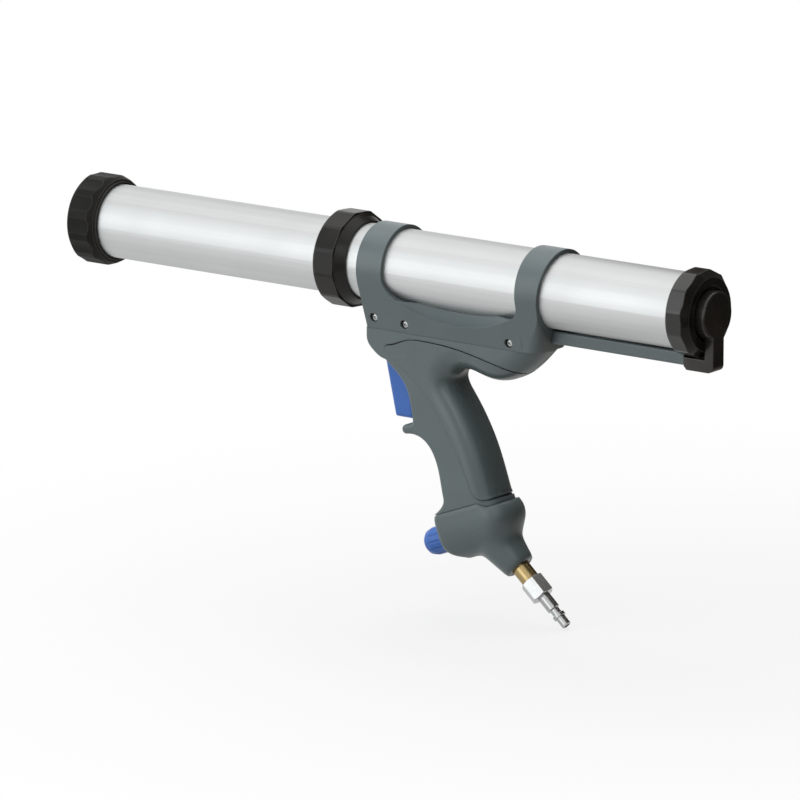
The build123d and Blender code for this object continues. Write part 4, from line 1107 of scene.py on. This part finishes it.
# flags: dark studio cards to the right of the tool and behind it, which the lens doesn't see
flagLook = {
    "side": {"from": 152.0, "to": 251.0, "far": 0.75, "low": -0.27, "high": 0.62, "shades": True},
    "upper": {"from": 251.0, "to": 292.0, "far": 0.75, "low": -0.22, "high": 0.85, "shades": False},
    "crown": {"from": 150.0, "to": 225.0, "far": 0.75, "low": 0.62, "high": 1.35, "shades": False},
}
flagTone = (0.085, 0.076, 0.064)


def makeFlag(name, look, material):
    tx, ty = shot["target"][:2]
    steps = 12
    points = []
    for step in range(steps + 1):
        angle = math.radians(look["from"] + (look["to"] - look["from"]) * step / steps)
        x = tx + look["far"] * math.cos(angle)
        y = ty + look["far"] * math.sin(angle)
        points += [(x, y, look["low"]), (x, y, look["high"])]
    faces = [(2 * i, 2 * i + 1, 2 * i + 3, 2 * i + 2) for i in range(steps)]
    mesh = bpy.data.meshes.new(name)
    mesh.from_pydata(points, [], faces)
    mesh.materials.append(material)
    flag = bpy.data.objects.new(name, mesh)
    scene.collection.objects.link(flag)
    flag.visible_camera = False
    flag.visible_diffuse = look["shades"]
    flag.visible_shadow = look["shades"]


flagCloth, _, flagShader = startFinish("flagCloth")
flagShader.inputs["Base Color"].default_value = (*flagTone, 1.0)
flagShader.inputs["Roughness"].default_value = 1.0
flagShader.inputs["Specular IOR Level"].default_value = 0.0
for flagName, look in flagLook.items():
    makeFlag(flagName + "Flag", look, flagCloth)


# studio light: soft boxes to the left and overhead, a strip for highlights, a rim from behind
lampLook = {
    "key": {
        "way": (0.45, 0.86, 0.24),
        "far": 1.8,
        "size": (2.1, 1.35),
        "power": 13.5,
        "tint": (0.95, 0.99, 1.0),
        "diffuse": True,
        "glossy": True,
    },
    "top": {
        "way": (0.10, 0.10, 1.0),
        "far": 1.6,
        "size": (2.2, 1.8),
        "power": 9.5,
        "tint": (1.0, 0.995, 0.98),
        "diffuse": True,
        "glossy": True,
    },
    "strip": {
        "way": (-0.50, 0.80, 0.50),
        "far": 2.2,
        "size": (0.35, 0.8),
        "power": 2.6,
        "tint": (0.96, 0.99, 1.0),
        "diffuse": False,  # it only draws highlights
        "glossy": True,
    },
    "rim": {
        "way": (0.30, -0.45, 0.85),
        "far": 1.6,
        "size": (1.6, 1.0),
        "power": 9.0,
        "tint": (1.0, 0.98, 0.94),
        "diffuse": True,
        "glossy": False,  # it only lifts the tops
    },
}
for lampName, look in lampLook.items():
    lamp = bpy.data.lights.new(lampName, "AREA")
    lamp.shape = "RECTANGLE"
    lamp.size, lamp.size_y = look["size"]
    lamp.energy = look["power"]
    lamp.color = look["tint"]
    stand = bpy.data.objects.new(lampName, lamp)
    way = Vector(look["way"]).normalized()
    stand.location = Vector(shot["target"]) + way * look["far"]
    stand.rotation_euler = way.to_track_quat("Z", "Y").to_euler()
    stand.visible_diffuse = look["diffuse"]
    stand.visible_glossy = look["glossy"]
    scene.collection.objects.link(stand)


# room: plain white to the lens and in reflections, and a soft light that is brighter at the muzzle
roomLook = {
    "bright": (0.80, 0.82, 0.84),
    "dim": (0.080, 0.060, 0.044),
    "way": (0.88, 0.05, 0.45),
    "span": (-0.9, 0.9),
}
world = bpy.data.worlds.new("room")
scene.world = world
world.use_nodes = True
roomTree = world.node_tree
room = roomTree.nodes["Background"]
room.inputs["Strength"].default_value = 1.0
spot = addNode(roomTree, "ShaderNodeTexCoord")
aim = addNode(roomTree, "ShaderNodeVectorMath", operation="DOT_PRODUCT")
wire(roomTree, spot.outputs["Generated"], aim.inputs[0])
aim.inputs[1].default_value = Vector(roomLook["way"]).normalized()
level = rangeNode(roomTree, aim.outputs["Value"], *roomLook["span"], 0.0, 1.0)
tone = mixColour(roomTree, level, roomLook["dim"], roomLook["bright"])
wire(roomTree, mixColour(roomTree, seenPlainly(roomTree), tone, (1.0, 1.0, 1.0)), room.inputs["Color"])
print("floor, flags, lamps and room set")
